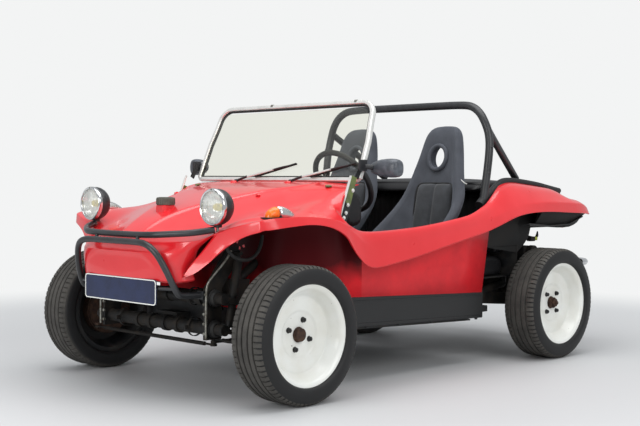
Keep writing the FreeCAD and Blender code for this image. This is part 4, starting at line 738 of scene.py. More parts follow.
for i, places in enumerate(NOSE):
    for column, place in enumerate(places):
        mark(f"nose{i}", column, place)
for column, place in enumerate(FRONT_EDGE):
    mark("brow", column, place)
for column, lip, inward in zip(range(6, 10), FRONT_LIP, FRONT_RETURN):
    mark("lip", column, lip)
    mark("return", column, inward)
grid["lip", 10], grid["return", 10] = grid["brow", 11], grid["brow", 12]
for i, places in enumerate(LEAF):
    for column, place in zip((10, 11, 12), places):
        mark(f"leaf{i}", column, place)
for i, (middle_ahead, belt_ahead, middle, *across) in enumerate(HOOD):
    mark(f"hood{i}", 0, (middle_ahead, 0, middle))
    for column, y, z in zip(range(1, 13), across[0::2], across[1::2]):
        mark(f"hood{i}", column, (middle_ahead + (belt_ahead - middle_ahead) * SWEEP[column], y, z))
for i, places in enumerate(COWL):
    for column, place in enumerate(places):
        mark(f"cowl{i}", column, place)
for i, (ahead, *across) in enumerate(SIDE):
    for column, y, z in zip(range(7, 13), across[0::2], across[1::2]):
        mark(f"side{i}", column, (ahead - (TIP.get(column, 0) if i == len(SIDE) - 1 else 0), y, z))

nose_rows = [f"nose{i}" for i in range(len(NOSE))] + ["brow"]
leaf_rows = [f"leaf{i}" for i in reversed(range(len(LEAF)))]
hood_rows = ["brow"] + [f"hood{i}" for i in range(len(HOOD))] + [f"cowl{i}" for i in range(len(COWL))]
side_rows = ["cowl0"] + [f"side{i}" for i in range(len(SIDE))]
for order, columns in ((nose_rows, range(0, 6)), (leaf_rows, range(10, 12)), (hood_rows, range(0, 12)),
                       (side_rows, range(7, 12))):
    for low, high in zip(order, order[1:]):
        for column in columns:
            face((low, column), (low, column + 1), (high, column + 1), (high, column))
for column in range(6, 10):
    face(("brow", column), ("brow", column + 1), ("lip", column + 1), ("lip", column))
    face(("lip", column), ("lip", column + 1), ("return", column + 1), ("return", column))
face(("leaf0", 10), ("brow", 6), ("lip", 6), ("leaf0", 11))
face(("leaf0", 11), ("lip", 6), ("return", 6), ("leaf0", 12))
tail_first = len(SIDE) - len(TAIL_TOP)
for i, (ahead, height) in enumerate(TAIL_TOP):
    for column, share in ((4, 0.0), (5, 0.5), (6, 0.96)):
        inner = SIDE[tail_first + i][1]
        mark(f"side{tail_first + i}", column, (ahead, inner * share, height + (6 if share == 0 else 0)))
for i in range(tail_first, len(SIDE) - 1):
    for column in (4, 5, 6):
        face((f"side{i}", column), (f"side{i}", column + 1), (f"side{i + 1}", column + 1), (f"side{i + 1}", column))
last = f"side{len(SIDE) - 1}"
for i, (ahead, height, wide) in enumerate(TAIL_FACE):
    for column, share in zip(range(4, 12), (0, 0.42, 0.83, 0.87, 0.93, 0.97, 1.0, 1.02)):
        mark(f"tail{i}", column, (ahead + 22 * max(0, share - 0.8) * 5, wide * share, height))
    above = f"tail{i - 1}" if i else last
    for column in range(4, 11):
        face((above, column), (above, column + 1), (f"tail{i}", column + 1), (f"tail{i}", column))

# How sharp each column stays under the smoothing, and the rows that hold an edge across the car:
# the brow and the fender's lip, two creases of the nose, and the steps of the tail.
SHARP_COLUMNS = {10: 0.55, 11: 0.85, 12: 1.0, 1: 0.45, 2: 0.3}
SHARP_ROWS, ROW_SHARPNESS, RIM_SHARPNESS = ("brow", "lip", "nose5", "nose1", last, "side23", "side25"), 0.5, 0.9
named = {vert: key for key, vert in grid.items()}
for edge in shell.edges:
    (row_a, column_a), (row_b, column_b) = (named[vert] for vert in edge.verts)
    if column_a == column_b and column_a in SHARP_COLUMNS:
        along_cockpit = {row_a, row_b} <= {f"side{i}" for i in range(4, 11)}
        in_nose = "nose" in row_a or "nose" in row_b
        if not (column_a == 10 and along_cockpit) and not (column_a in (1, 2) and in_nose):
            edge[crease] = SHARP_COLUMNS[column_a]
    if row_a == row_b and row_a in SHARP_ROWS:
        edge[crease] = ROW_SHARPNESS
    if edge.is_boundary and column_a > 5:
        edge[crease] = RIM_SHARPNESS
bmesh.ops.mirror(shell, geom=shell.verts[:] + shell.edges[:] + shell.faces[:], axis="Y", merge_dist=MERGE)
bmesh.ops.remove_doubles(shell, verts=shell.verts[:], dist=MERGE)
body_shell = piece("body_shell", shell, gelcoat)
smoothing = body_shell.modifiers.new("Rounded", "SUBSURF")
smoothing.levels = smoothing.render_levels = 3
wall = body_shell.modifiers.new("Wall", "SOLIDIFY")
wall.thickness, wall.offset = WALL_THICKNESS, -1
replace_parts(body_shell, "hood", "front_fenders", "side_panels", "rear_fenders", "tail_panel")

# ---------------------------------------------------------------------------
# Sides and footwell: flat fibreglass walls between the belt and the sills and around the
# feet, red outside with painted shade high in the front arch, and black underseal sprayed inside the wheel arches.
# ---------------------------------------------------------------------------
# Underseal: sprayed bitumen, black, matt and pebbled, that drinks the light in the arches.
underseal = weathered("Sprayed underseal", "#0D0D0D", "#1D1B19", 120, 5, (0.7, 0.9), 1.2)
# The flat walls are the same gelcoat, duller and darker where wheels throw dirt at them.
dull_gelcoat = weathered("Road-dulled red gelcoat", "#E01E28", "#C81C26", 240, 6, (0.35, 0.55), 0.3, Coat_Weight=0.1,
                         Specular_IOR_Level=0.3)
body_shell.data.materials.append(underseal)
body_shell.modifiers["Wall"].material_offset = 1
# Inside the front arch the same gelcoat turns dark red towards the top, with a ragged edge: painted shade under the
# fender.
arch_shade_coat = dull_gelcoat.copy()
arch_shade_coat.name = "Gelcoat with painted arch shade"
shader = arch_shade_coat.node_tree.nodes["Principled BSDF"]
shader.inputs["Coat Weight"].default_value = 0
shader.inputs["Specular IOR Level"].default_value = 0.12
place = spread(shader)
ragged = maths("MULTIPLY", noise(place, 9.0, 5.0), 0.12)
height = add(shader.id_data, "ShaderNodeSeparateXYZ", {0: place}).outputs["Z"]
arch_shade = ramp(maths("ADD", height, ragged), 0.52, 0.62)
feed(shader, Base_Color=mixed(arch_shade, shader.inputs["Base Color"].links[0].from_socket, "#561116"))

WALL = (
    # ahead at the foot and at the top; y at the foot and at the top; height of the foot and of the top
    (-1425, -1482, 600, 606, 373, 724), (-1250, -1290, 601, 607, 379, 684), (-1000, -1010, 602, 607, 389, 642),
    (-740, -740, 603, 608, 400, 590), (-560, -560, 603, 608, 407, 575), (-505, -500, 603, 609, 409, 610),
    (-450, -440, 602, 610, 412, 660), (-400, -385, 597, 604, 406, 715), (-345, -330, 580, 588, 384, 750),
    (-285, -275, 485, 555, 362, 760),
    (-225, -215, 445, 510, 355, 765), (-170, -165, 425, 462, 352, 775), (-134, -134, 400, 405, 350, 778),
    (-128, -128, 330, 330, 350, 778), (-128, -128, 0, 0, 350, 778),
)
# Where the flange ends that turns out from the top of the flat side to meet the belt's lip, and
# where the wall passes from the flat side into the front arch, whose faces carry the painted arch shade.
FLANGE_LONG, FLANGE_SHORT, ARCH_START = 688, 652, -460
walls = bmesh.new()
for side in (1, -1):
    rows = []
    for foot_a, top_a, foot_y, top_y, foot_z, top_z in WALL:
        out = FLANGE_LONG if -1300 < foot_a < -530 else FLANGE_SHORT if -530 < foot_a < -370 else top_y + 6
        rows.append([walls.verts.new(front(a, side * y, z)) for a, y, z in (
            (foot_a, foot_y, foot_z), ((foot_a + top_a) / 2, (foot_y + top_y) / 2, (foot_z + top_z) / 2),
            (top_a, top_y, top_z), (top_a, out, top_z + 6))])
    for low, high in zip(rows, rows[1:]):
        for k in range(3):
            made = walls.faces.new((low[k], low[k + 1], high[k + 1], high[k]))
            made.material_index = int(high[0].co.x > front(ARCH_START, 0, 0).x)
side_walls = piece("side_walls", walls, (dull_gelcoat, arch_shade_coat))
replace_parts(side_walls, "lower_panels", "footwell")
thick = side_walls.modifiers.new("Wall", "SOLIDIFY")
thick.thickness, thick.offset = WALL_THICKNESS, 0
side_walls.data.shade_smooth()

# The sill box under each wall is folded sheet, black; its flange bolts hang below it.
sill, hung_bolts = bmesh.new(), bmesh.new()
for side in (1, -1):
    loft(sill, [[(ahead, side * y, z) for y, z in ((545, foot), (597, foot), (597, top), (545, top))]
                for ahead, foot, top in ((-1443, 240, 378), (-430, 274, 418))])
    for ahead, foot in ((-1400, 242), (-1324, 244), (-1229, 248), (-1035, 254), (-790, 262), (-560, 270)):
        hex_bolt(hung_bolts, (ahead, side * 585, foot), (0, 0, -1), 14, 9)
    slab(hung_bolts, (-1490, side * 560, 268), (-1438, side * 592, 300), 3)
bmesh.ops.bevel(sill, geom=list(sill.edges), offset=3 * MM, segments=2, affect="EDGES")
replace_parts(piece("sill_boxes", sill, sill_paint), "sills")
piece("sill_bolts", hung_bolts, sill_paint)

SKIRT = (
    # ahead, y, height of the top and of the foot
    (-1880, 662, 782, 716), (-1940, 660, 780, 704), (-2020, 656, 778, 694), (-2110, 652, 774, 689),
    (-2190, 646, 771, 688), (-2250, 640, 769, 690), (-2300, 636, 767, 699), (-2340, 634, 764, 712),
    (-2366, 628, 764, 726), (-2374, 600, 762, 738), (-2362, 560, 762, 745),
)
arch = bmesh.new()
for side in (1, -1):
    # The black wheel-house wall beside the rear seat, and the tail's inner panel behind it.
    slab(arch, (-1800, side * 560, 600), (-1455, side * 568, 780), 3)
    slab(arch, (-1800, side * 520, 600), (-1792, side * 566, 860), 3)
    for way, outline in (
            (556, ((-1500, 790), (-1975, 790), (-1945, 765), (-1898, 640), (-1850, 598), (-1790, 560), (-1500, 600))),
            (538, ((-1930, 815), (-2335, 812), (-2338, 742), (-2318, 698), (-2290, 690), (-1930, 690)))):
        loft(arch, [[(ahead, side * y, z) for ahead, z in outline] for y in (way, way + 6)])
    # A skirt hangs inside the rear fender's lip and follows it round to the tail.
    loft(arch, [[(ahead, side * place, z) for place, z in ((y, top), (y - 18, (top + foot) / 2 + 6), (y - 44, foot),
                                                           (y - 50, foot), (y - 24, top))]
                for ahead, y, top, foot in SKIRT], False)
piece("arch_walls", arch, underseal)

# Overspray of the body's red on the brace behind the left lamp: torn edges, no two alike.
patch = bmesh.new()
for ahead, y, z, wide, tall, torn in ((96, 437, 668, 16, 20, 3), (58, 437, 650, 17, 11, 5), (84, 437, 640, 9, 14, 2)):
    outline = []
    for k in range(14):
        t = math.tau * k / 14
        outline.append((ahead + wide / 2 + wide * (0.5 + 0.16 * math.sin(torn * k)) * math.cos(t), y,
                        z + tall / 2 + tall * (0.5 + 0.2 * math.sin(torn * k + 2)) * math.sin(t)))
    patch.faces.new([patch.verts.new(front(*point)) for point in outline])
piece("overspray_patches", patch, gelcoat)

# ---------------------------------------------------------------------------
# Cockpit: grained black dashboard with two dials, sports steering wheel with three alloy
# spokes on a steel column, gear stick and handbrake on the tunnel.
# ---------------------------------------------------------------------------
# Grained vinyl over foam: black, soft shine, a leather grain about 1 mm across.
vinyl = weathered("Grained black vinyl", "#141416", "#1E1E20", 140, 1.3, (0.4, 0.6), 0.35, Specular_IOR_Level=0.4)
# Moulded black plastic of knobs, mirror shells and lamp bowls, lightly greyed by the sun.
plastic = weathered("Sun-greyed black plastic", "#1D1E21", "#2C2D30", 70, 1.5, (0.32, 0.5), 0.12)
# Chrome plate: bright and clean, with the faintest haze, so that it mirrors floor and sky.
chrome = weathered("Bright chrome", "#DADBDC", "#C6C7C8", 60, 4, (0.05, 0.12), 0.02, Metallic=1.0)
# Polished aluminium of spokes and flasher tails: lighter and softer than chrome, brushed dull in places.
polished = weathered("Polished aluminium", "#D3D4D3", "#BDBEBC", 50, 2, (0.18, 0.32), 0.05, Metallic=0.95)
dress(axle_paint, "steering_column")
dress(plastic, "levers")


def strip(mesh, a, b, wide, thick, facing, bevel=1.0):
    """A flat bar from a to b in mm whose broad side looks along facing."""
    a, b = front(*a), front(*b)
    along, facing = (b - a).normalized(), Vector(facing)
    facing = (facing - along * facing.dot(along)).normalized()
    axes = Matrix((along, facing.cross(along), facing)).transposed().to_4x4()
    size = Matrix.Diagonal(((b - a).length, wide * MM, thick * MM, 1))
    block(mesh, Matrix.Translation((a + b) / 2) @ axes @ size, bevel)


def rounded(made, levels=2):
    """Subdivides a piece so that its cage becomes a smooth skin."""
    smooth = made.modifiers.new("Rounded", "SUBSURF")
    smooth.levels = smooth.render_levels = levels
    made.data.shade_smooth()
    return made


HUB = Vector((-700, 300, 935))
LEAN = math.radians(33)
AXIS, UPWARD = Vector((math.cos(LEAN), 0, -math.sin(LEAN))), Vector((math.sin(LEAN), 0, math.cos(LEAN)))


def on_wheel(turn, radius, along=0):
    """A point in mm on the steering wheel, turned from the top towards the left."""
    return HUB + (UPWARD * math.cos(turn) + Vector((0, 1, 0)) * math.sin(turn)) * radius + AXIS * along


dash = bmesh.new()
DASH = (
    # the dashboard's section: ahead, height
    (-503, 752), (-502, 842), (-507, 872), (-522, 888), (-545, 893), (-568, 888), (-584, 874), (-594, 850),
    (-600, 806), (-602, 764), (-597, 740), (-574, 728), (-540, 722), (-512, 730),
)
loft(dash, [[(a + (2 if abs(y) > 500 else 0), y, 800 + (z - 800) * (0.9 if abs(y) > 515 else 1)) for a, z in DASH]
            for y in (-520, -512, -460, -300, -150, 0, 150, 300, 460, 512, 520)])
dash_pad = rounded(piece("dash_pad", dash, vinyl), 1)
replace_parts(dash_pad, "dashboard")
dials, faces = bmesh.new(), bmesh.new()
for y, radius in ((235, 40), (365, 40), (60, 27), (-10, 27)):
    turned(dials, [(radius - 5, -2), (radius + 3, -2), (radius + 3, 5), (radius - 1, 9), (radius - 5, 5),
                   (radius - 5, -2)], (-597, y, 812), (-1, 0, -0.06), 36)
    turned(faces, [(0, 2), (radius - 4, 2), (radius - 4, -2), (0, -2)], (-597, y, 812), (-1, 0, -0.06), 36)
for y in (120, 160, -80, -120):
    turned(dials, [(0, -2), (9, -2), (9, 6), (6, 12), (0, 13)], (-599, y, 790), (-1, 0, -0.06), 16)
piece("dial_rims", dials, chrome)
piece("dial_faces", faces, plastic)

grip = bmesh.new()
ring = [(165 + 14 * math.cos(math.tau * k / 14), 14 * math.sin(math.tau * k / 14)) for k in range(15)]
turned(grip, ring, HUB, AXIS, 72, closed=True)
for degrees in (105, 180, -105):
    turn = math.radians(degrees)
    turned(grip, [(0, -3), (11, -3), (15.5, 0), (11, 3), (0, 3)], on_wheel(turn, 163), on_wheel(turn, 1) - HUB, 16)
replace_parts(piece("wheel_grip", grip, vinyl, "steering_wheel"), "steering_wheel")
spokes = bmesh.new()
for degrees in (78, 180, -78):
    turn = math.radians(degrees)
    for offset in (-0.11, 0.11):
        strip(spokes, on_wheel(turn + offset * 1.6, 34, 24), on_wheel(turn + offset * 0.8, 156, 1), 9, 3, AXIS, 0.8)
    strip(spokes, on_wheel(turn, 100, 12), on_wheel(turn, 112, 9), 34, 3, AXIS, 0.8)
turned(spokes, [(0, 22), (46, 22), (46, 26), (0, 26)], HUB, AXIS, 40)
for k in range(6):
    hex_bolt(spokes, on_wheel(math.tau * (k + 0.5) / 6, 36, 22), -AXIS, 7, 3)
piece("wheel_spokes", spokes, polished, "steering_wheel")
boss = bmesh.new()
turned(boss, [(0, 12), (22, 12), (25, 15), (26, 22), (33, 26), (30, 60), (27, 72), (0, 72)], HUB, AXIS, 36)
piece("wheel_boss", boss, plastic, "steering_wheel")

# ---------------------------------------------------------------------------
# Windscreen: flat laminated glass in a black rubber seal, inside a polished aluminium
# channel bent at the top corners. Plates at its feet bolt it to the cockpit sides.
# ---------------------------------------------------------------------------
SLOPE = math.radians(21.5)
SCREEN_FOOT = Vector((-518, 0, 933))
SCREEN_UP, SCREEN_OUT = Vector((-math.sin(SLOPE), 0, math.cos(SLOPE))), Vector((math.cos(SLOPE), 0, math.sin(SLOPE)))


def on_screen(y, up, out=0):
    """A point in mm from its place on the screen's slope."""
    return SCREEN_FOOT + Vector((0, y, 0)) + SCREEN_UP * up + SCREEN_OUT * out


def frame_route(inset):
    """The screen's outline as (y, up) pairs, moved in from its outer edge by inset mm."""
    corner, across, along = 86, 467, 329
    half = [(0, inset), (300, inset), (568 - inset, inset), (578 - inset, inset + 10), (576 - inset, 90),
            (572 - inset, 200), (across + corner - inset + 3, along - 30)]
    half += [(across + (corner - inset) * math.cos(t), along + (corner - inset) * math.sin(t))
             for t in (math.radians(11.25 * k) for k in range(9))]
    half += [(300, along + corner - inset)]
    return half + [(-y, up) for y, up in reversed(half[1:])]


def channel(mesh, inset, wide, deep, out=0):
    """A bar of rounded section all round the screen, wide in its plane and deep across it."""
    route, rings = [Vector(p) for p in frame_route(inset)], []
    for i, place in enumerate(route):
        way = (route[(i + 1) % len(route)] - route[i - 1]).normalized()
        inward, section = Vector((-way.y, way.x)), []
        for k in range(12):
            t = math.tau * k / 12
            across, depth = (math.copysign(abs(part) ** 0.5, part) for part in (math.cos(t), math.sin(t)))
            section.append(on_screen(*(place + inward * across * wide / 2), depth * deep / 2 + out))
        rings.append([mesh.verts.new(front(*point)) for point in section])
    skin(mesh, rings + rings[:1])


# The channel is aluminium polished long ago and since gone milky: white, with soft reflections.
satin = weathered("Milky polished aluminium", "#F2F2EE", "#DEDEDA", 70, 3, (0.3, 0.42), 0.05, Metallic=0.7)
frame_bar, seal = bmesh.new(), bmesh.new()
channel(frame_bar, 10.5, 21, 29)
channel(seal, 24, 9, 13)
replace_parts(piece("screen_channel", frame_bar, satin), "windshield_frame")
piece("screen_seal", seal, boot_rubber)
clips = bmesh.new()
for y in (-160, 420):
    strip(clips, on_screen(y - 9, 415, 4), on_screen(y + 9, 415, 4), 16, 3, SCREEN_UP, 0.6)
    strip(clips, on_screen(y - 9, 408, 13), on_screen(y + 9, 408, 13), 14, 3, SCREEN_OUT, 0.6)
piece("screen_clips", clips, zinc)

# Laminated glass: clear, a touch green-yellow, colder at its edges, with clean reflections.
glass, shader = new_coat("Laminated glass", Roughness=0.0, IOR=1.5, Transmission_Weight=1.0)
tree = shader.id_data
clear = add(tree, "ShaderNodeBsdfTransparent", {"Color": tint("#FAFAF5")})
gloss = add(tree, "ShaderNodeBsdfGlossy", {"Color": tint("#FFFFFF"), "Roughness": 0.02})
edge_on = add(tree, "ShaderNodeLayerWeight", {"Blend": 0.06}).outputs["Facing"]
shown(add(tree, "ShaderNodeMixShader", {0: edge_on, 1: clear.outputs[0], 2: gloss.outputs[0]}))
dress(glass, "windshield_glass")

# Mirror heads: moulded nylon, dark grey, gone paler and shinier where hands adjust them.
mirror_shell = weathered("Grey nylon mirror head", "#42464C", "#5C6068", 40, 2, (0.28, 0.45), 0.15)
# Flat steel plates at the feet: the outer one in faded green-grey paint, bolted through.
olive = weathered("Faded green-grey paint", "#68753F", "#4E5738", 30, 2, (0.4, 0.6), 0.3)
MIRROR = (
    # outward, half depth, lower and upper height of the mirror's shell
    (600, 9, 988, 1010), (607, 17, 978, 1019), (628, 26, 966, 1031), (665, 33, 957, 1040), (715, 34, 953, 1043),
    (744, 31, 955, 1039), (754, 22, 963, 1029), (758, 11, 977, 1014),
)
# Half of a mirror's section from its glass to its back, as shares of its depth and height.
MIRROR_HALF = ((1, 0), (0.9, 0.6), (0.6, 0.95), (0, 1), (-0.75, 0.98), (-0.95, 0.8), (-1, 0))
for label, side in SIDES:
    plates, edge_bar, bolts = bmesh.new(), bmesh.new(), bmesh.new()
    top = (-467, side * 590, 958) if side == 1 else (-449, side * 590, 906)
    strip(plates, top, (-425, side * 590, 836), 36, 4, (0, 1, 0))
    piece(f"screen_plate_{label}", plates, olive)
    lower = bmesh.new()
    strip(lower, (-438, side * 586, 872), (-398, side * 586, 756), 46, 5, (0, 1, 0))
    strip(lower, (-524, side * 588, 1020), (-484, side * 588, 950), 26, 4, (0, 1, 0))
    piece(f"screen_foot_{label}", lower, sill_paint)
    strip(edge_bar, (-446, side * 588, 962), (-398, side * 591, 846), 8, 12, (0, 1, 0), 2)
    strip(edge_bar, (-398, side * 591, 848), (-364, side * 593, 760), 8, 12, (0, 1, 0), 2)
    piece(f"screen_edge_{label}", edge_bar, satin)
    for ahead, z in ((-456, 895), (-424, 830), (-411, 794), (-398, 772)):
        hex_bolt(bolts, (ahead, side * 592, z), (0, side, 0), 13, 6)
    piece(f"screen_bolts_{label}", bolts, satin)

    shell = bmesh.new()
    # The left mirror stands square; the right one is folded in, so it reaches less far out.
    inner, share, lift = (578, 1.07, 0) if side == 1 else (622, 0.6, 10)
    rings = []
    for y, depth, low, high in MIRROR:
        middle, tall = (low + high) / 2 + lift, (high - low) / 2
        rings.append([(-596 + (depth if u > 0 else 34) * u, side * (inner + (y - 600) * share), middle + tall * v)
                      for u, v in MIRROR_HALF + tuple((u, -v) for u, v in MIRROR_HALF[-2:0:-1])])
    loft(shell, rings)
    mount = bmesh.new()
    slab(mount, (-545, side * 588, 984), (-494, side * 599, 1036), 4)
    pipe(mount, [(-535, side * 590, 1006), (-552, side * 598, 1004), (-584, side * 608, 1000)], 12, 14, 1)
    piece(f"mirror_mount_{label}", mount, plastic)
    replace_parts(rounded(piece(f"mirror_shell_{label}", shell, mirror_shell), 1), "mirrors")
    mirror = bmesh.new()
    slab(mirror, (-631.5, side * (inner + 40 * share), 968 + lift),
         (-628, side * (inner + 136 * share), 1028 + lift), 1)
    piece(f"mirror_glass_{label}", mirror, chrome)

for label, pivot_y in (("left", 172), ("right", -220)):
    # A cast foot on the hood, a tapered arm and a rubber blade held by a bowed bridge.
    arm, rod, blade = bmesh.new(), bmesh.new(), bmesh.new()
    turned(arm, [(0, 0), (13, 0), (13, 5), (9, 10), (8.5, 20), (6, 24), (0, 24)], (-470, pivot_y, 920), (0.2, 0, 1), 20)
    knee = Vector((-492, pivot_y + 55, 958))
    strip(arm, (-468, pivot_y - 6, 934), knee, 17, 10, (0.6, -0.3, 1), 2)
    middle = on_screen(pivot_y + 231, 53, 26)
    strip(rod, knee - Vector((0, 6, 2)), middle + SCREEN_OUT * 3, 9, 6, SCREEN_OUT)
    lean = (Vector((0, 1, 0)) + SCREEN_UP * 0.25).normalized()
    pipe(arm, [middle + lean * along + SCREEN_OUT * rise
               for along, rise in ((-95, -6), (-50, 1), (0, 3), (50, 1), (95, -6))], 4, 8)
    strip(blade, middle - lean * 140 - SCREEN_OUT * 9, middle + lean * 140 - SCREEN_OUT * 9, 7, 12, SCREEN_OUT)
    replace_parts(piece(f"wiper_arm_{label}", arm, plastic), "wipers")
    piece(f"wiper_rod_{label}", rod, satin)
    piece(f"wiper_blade_{label}", blade, boot_rubber)

# ---------------------------------------------------------------------------
# Front seats: two bucket seats, a black shell with foam under dark grey-blue cloth. The
# sides run forward as thick bolsters; a pillow fills the small of the back.
# ---------------------------------------------------------------------------
# Stretch cloth over foam: matt blue-grey, a fine weave, paler where the nap catches light.
cloth, shader = new_coat("Grey-blue seat cloth", Roughness=0.92, Sheen_Weight=0.5, Sheen_Roughness=0.5,
                         Specular_IOR_Level=0.25, Sheen_Tint=tint("#8E95A0"))
place = spread(shader)
feed(shader, Base_Color=mixed(noise(place, 14.0, 5.0), "#3A3C42", "#55585F"),
     Normal=bump(noise(place, 1400.0, 1.0), 0.5, 0.0006))

# The pillow is cut from the darker side of the same cloth; a black vinyl cord round its edge is painted shadow for the
# gap between pillow and seat.
dark_cloth = weathered("Charcoal pillow cloth", "#2A2C30", "#3B3E43", 60, 1.2, (0.85, 0.98), 0.5, Sheen_Weight=0.3)

SEAT = (
    # half width; then ahead and height of the middle, of the bolster's crest and of the shell
    (45, -1490, 1235, -1488, 1234, -1500, 1237),
    (80, -1474, 1222, -1472, 1217, -1518, 1221),
    (100, -1461, 1188, -1453, 1184, -1527, 1186),
    (113, -1453, 1134, -1438, 1130, -1525, 1132),
    (127, -1444, 1065, -1421, 1063, -1517, 1065),
    (147, -1433, 996, -1400, 994, -1504, 998),
    (163, -1423, 950, -1384, 946, -1490, 950),
    (180, -1414, 900, -1368, 893, -1476, 900),
    (195, -1406, 850, -1345, 845, -1460, 850),
    (206, -1396, 795, -1302, 797, -1443, 795),
    (213, -1384, 730, -1238, 746, -1425, 720),
    (215, -1366, 650, -1162, 694, -1405, 620),
    (215, -1335, 560, -1085, 648, -1370, 500),
    (215, -1275, 498, -1030, 614, -1330, 425),
    (215, -1190, 478, -985, 590, -1210, 400),
    (213, -1080, 486, -955, 568, -1080, 398),
    (207, -985, 500, -938, 535, -970, 405),
    (195, -945, 470, -936, 470, -944, 430),
)
# The head hole: the row of SEAT that it takes out, its middle across and up, its half width and height in mm.
HOLE_ROW, HOLE_Y, HOLE_Z, HOLE_WIDE, HOLE_TALL = 4, 296, 1067, 62, 72
SEAT_Y = 305
PAD = (
    # height, half width, how far the pillow stands out of the seat's back, ahead of the back's face
    (930, 88, -6, -1418), (926, 104, 6, -1416), (915, 114, 16, -1413), (880, 118, 22, -1407), (820, 120, 25, -1400),
    (740, 122, 26, -1386), (660, 122, 22, -1368), (600, 120, 8, -1350),
)
for label, side in SIDES:
    seat = bmesh.new()
    rings = []
    for half, middle_a, middle_z, crest_a, crest_z, shell_a, shell_z in SEAT:
        slim = half < 150
        half += 11
        foot = half * 0.62 if slim else half - 72
        middle, crest, back = Vector((middle_a, middle_z)), Vector((crest_a, crest_z)), Vector((shell_a - 9, shell_z))
        reach = (back - crest).length
        outer, behind = crest.lerp(back, min(0.35, 34 / reach)), crest.lerp(back, min(0.78, 78 / reach))
        across = [(0, middle), (min(54, half * 0.43), middle.lerp(crest, 0.03)), (foot, middle.lerp(crest, 0.12)),
                  (half * 0.8 if slim else half - 46, middle.lerp(crest, 0.93)),
                  (half * 0.93 if slim else half - 18, crest), (half, outer),
                  (half * 0.94 if slim else half - 16, behind), (half * 0.62, back), (0, back)]
        across += [(-y, point) for y, point in reversed(across[1:-1])]
        rings.append([(point.x, side * (SEAT_Y + y), point.y) for y, point in across])
    grid_rows = loft(seat, rings)
    # The faces round the middle of that row go, front and back, and a throat joins the two openings.
    for first in (-1, 0, 7, 8):
        for row in (HOLE_ROW - 1, HOLE_ROW):
            corners = {line[k] for line in grid_rows[row:row + 2] for k in (first, first + 1)}
            for found in [f for f in grid_rows[row][first].link_faces if set(f.verts) == corners]:
                seat.faces.remove(found)
    above, level, below = grid_rows[HOLE_ROW - 1:HOLE_ROW + 2]
    front_ring = [above[0], above[1], level[1], below[1], below[0], below[-1], level[-1], above[-1]]
    back_ring = [above[8], above[7], level[7], below[7], below[8], below[9], level[9], above[9]]
    for vert in (level[0], level[8]):
        seat.verts.remove(vert)
    throat = [[], []]
    for k, (a, b) in enumerate(zip(front_ring, back_ring)):
        y, z = HOLE_WIDE * math.sin(math.tau * k / 8), HOLE_TALL * math.cos(math.tau * k / 8)
        a.co.yz = side * (HOLE_Y + y) * MM, (HOLE_Z + z) * MM
        b.co.yz = side * (HOLE_Y + y * 1.3) * MM, (HOLE_Z + z * 1.12) * MM
        throat[0].append(seat.verts.new(front(-1452 - z * 0.18, side * (HOLE_Y + y * 0.86), HOLE_Z + z * 0.86)))
        throat[1].append(seat.verts.new(front(-1495 - z * 0.14, side * (HOLE_Y + y * 1.12), HOLE_Z + z)))
    skin(seat, [front_ring, *throat, back_ring])
    shell_verts = {vert for row in grid_rows for vert in row[6:11] if vert.is_valid}
    for found in seat.faces:
        if all(vert in shell_verts for vert in found.verts):
            found.material_index = 1
    bucket = rounded(piece(f"bucket_seat_{label}", seat, (cloth, plastic)))
    ring = bmesh.new()
    around = [math.tau * k / 32 for k in range(33)]
    pipe(ring, [(-1436 - 12 * math.cos(t), side * (HOLE_Y + 57 * math.sin(t)), HOLE_Z + 64 * math.cos(t))
                for t in around], 11, 12, 0)
    hole_ring = piece(f"hole_ring_{label}", ring, cloth)
    hole_ring.data.shade_smooth()
    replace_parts(bucket, "front_seats")

    pad, shadow_piping = bmesh.new(), bmesh.new()
    rows = []
    for z, half, stand, face_a in PAD:
        edge = [(half, -12), (half, stand * 0.6), (half * 0.86, stand), (half * 0.4, stand + 2), (9, stand)]
        across = [(-y, out) for y, out in edge] + [(0, stand - 8)] + edge[::-1]
        rows.append([(face_a + out, side * (SEAT_Y + y), z + out * 0.2) for y, out in across])
    loft(pad, rows)
    rounded(piece(f"back_pillow_{label}", pad, dark_cloth))
    # A black cord round the pillow stands in for the shadow in the gap at its edge.
    shadow_outline = [(face_a + stand * 0.5 + 2, side * (SEAT_Y + way * (half + 1)), z)
            for way, table in ((1, PAD), (-1, PAD[::-1])) for z, half, stand, face_a in table]
    pipe(shadow_piping, shadow_outline + shadow_outline[:1], 5, 10)
    piece(f"pillow_shadow_piping_{label}", shadow_piping, vinyl).data.shade_smooth()
    # A small tab is sewn in the bolster's seam, off-white like the wheels.
    tab = bmesh.new()
    pipe(tab, [(-1412, side * 470, 949), (-1424, side * 476, 938), (-1440, side * 478, 930), (-1456, side * 474, 928)],
         3.4, 8)
    piece(f"seam_tab_{label}", tab, wheel_paint)
    base = bmesh.new()
    for y in (SEAT_Y - 130, SEAT_Y + 130):
        slab(base, (-1340, side * y - 14, 262), (-985, side * y + 14, 284), 4)
        for ahead in (-1300, -1030):
            slab(base, (ahead - 20, side * y - 12, 284), (ahead + 20, side * y + 12, 420), 4)
    piece(f"seat_frame_{label}", base, sill_paint)

# ---------------------------------------------------------------------------
# Rear bench and deck cover: black vinyl over foam, the back rest stitched in upright
# pleats, the deck under a padded cover that ends in a square lip; a fat roll edges both.
# ---------------------------------------------------------------------------
bench, rest = bmesh.new(), bmesh.new()
PLEATS, HALF_BENCH = 20, 498


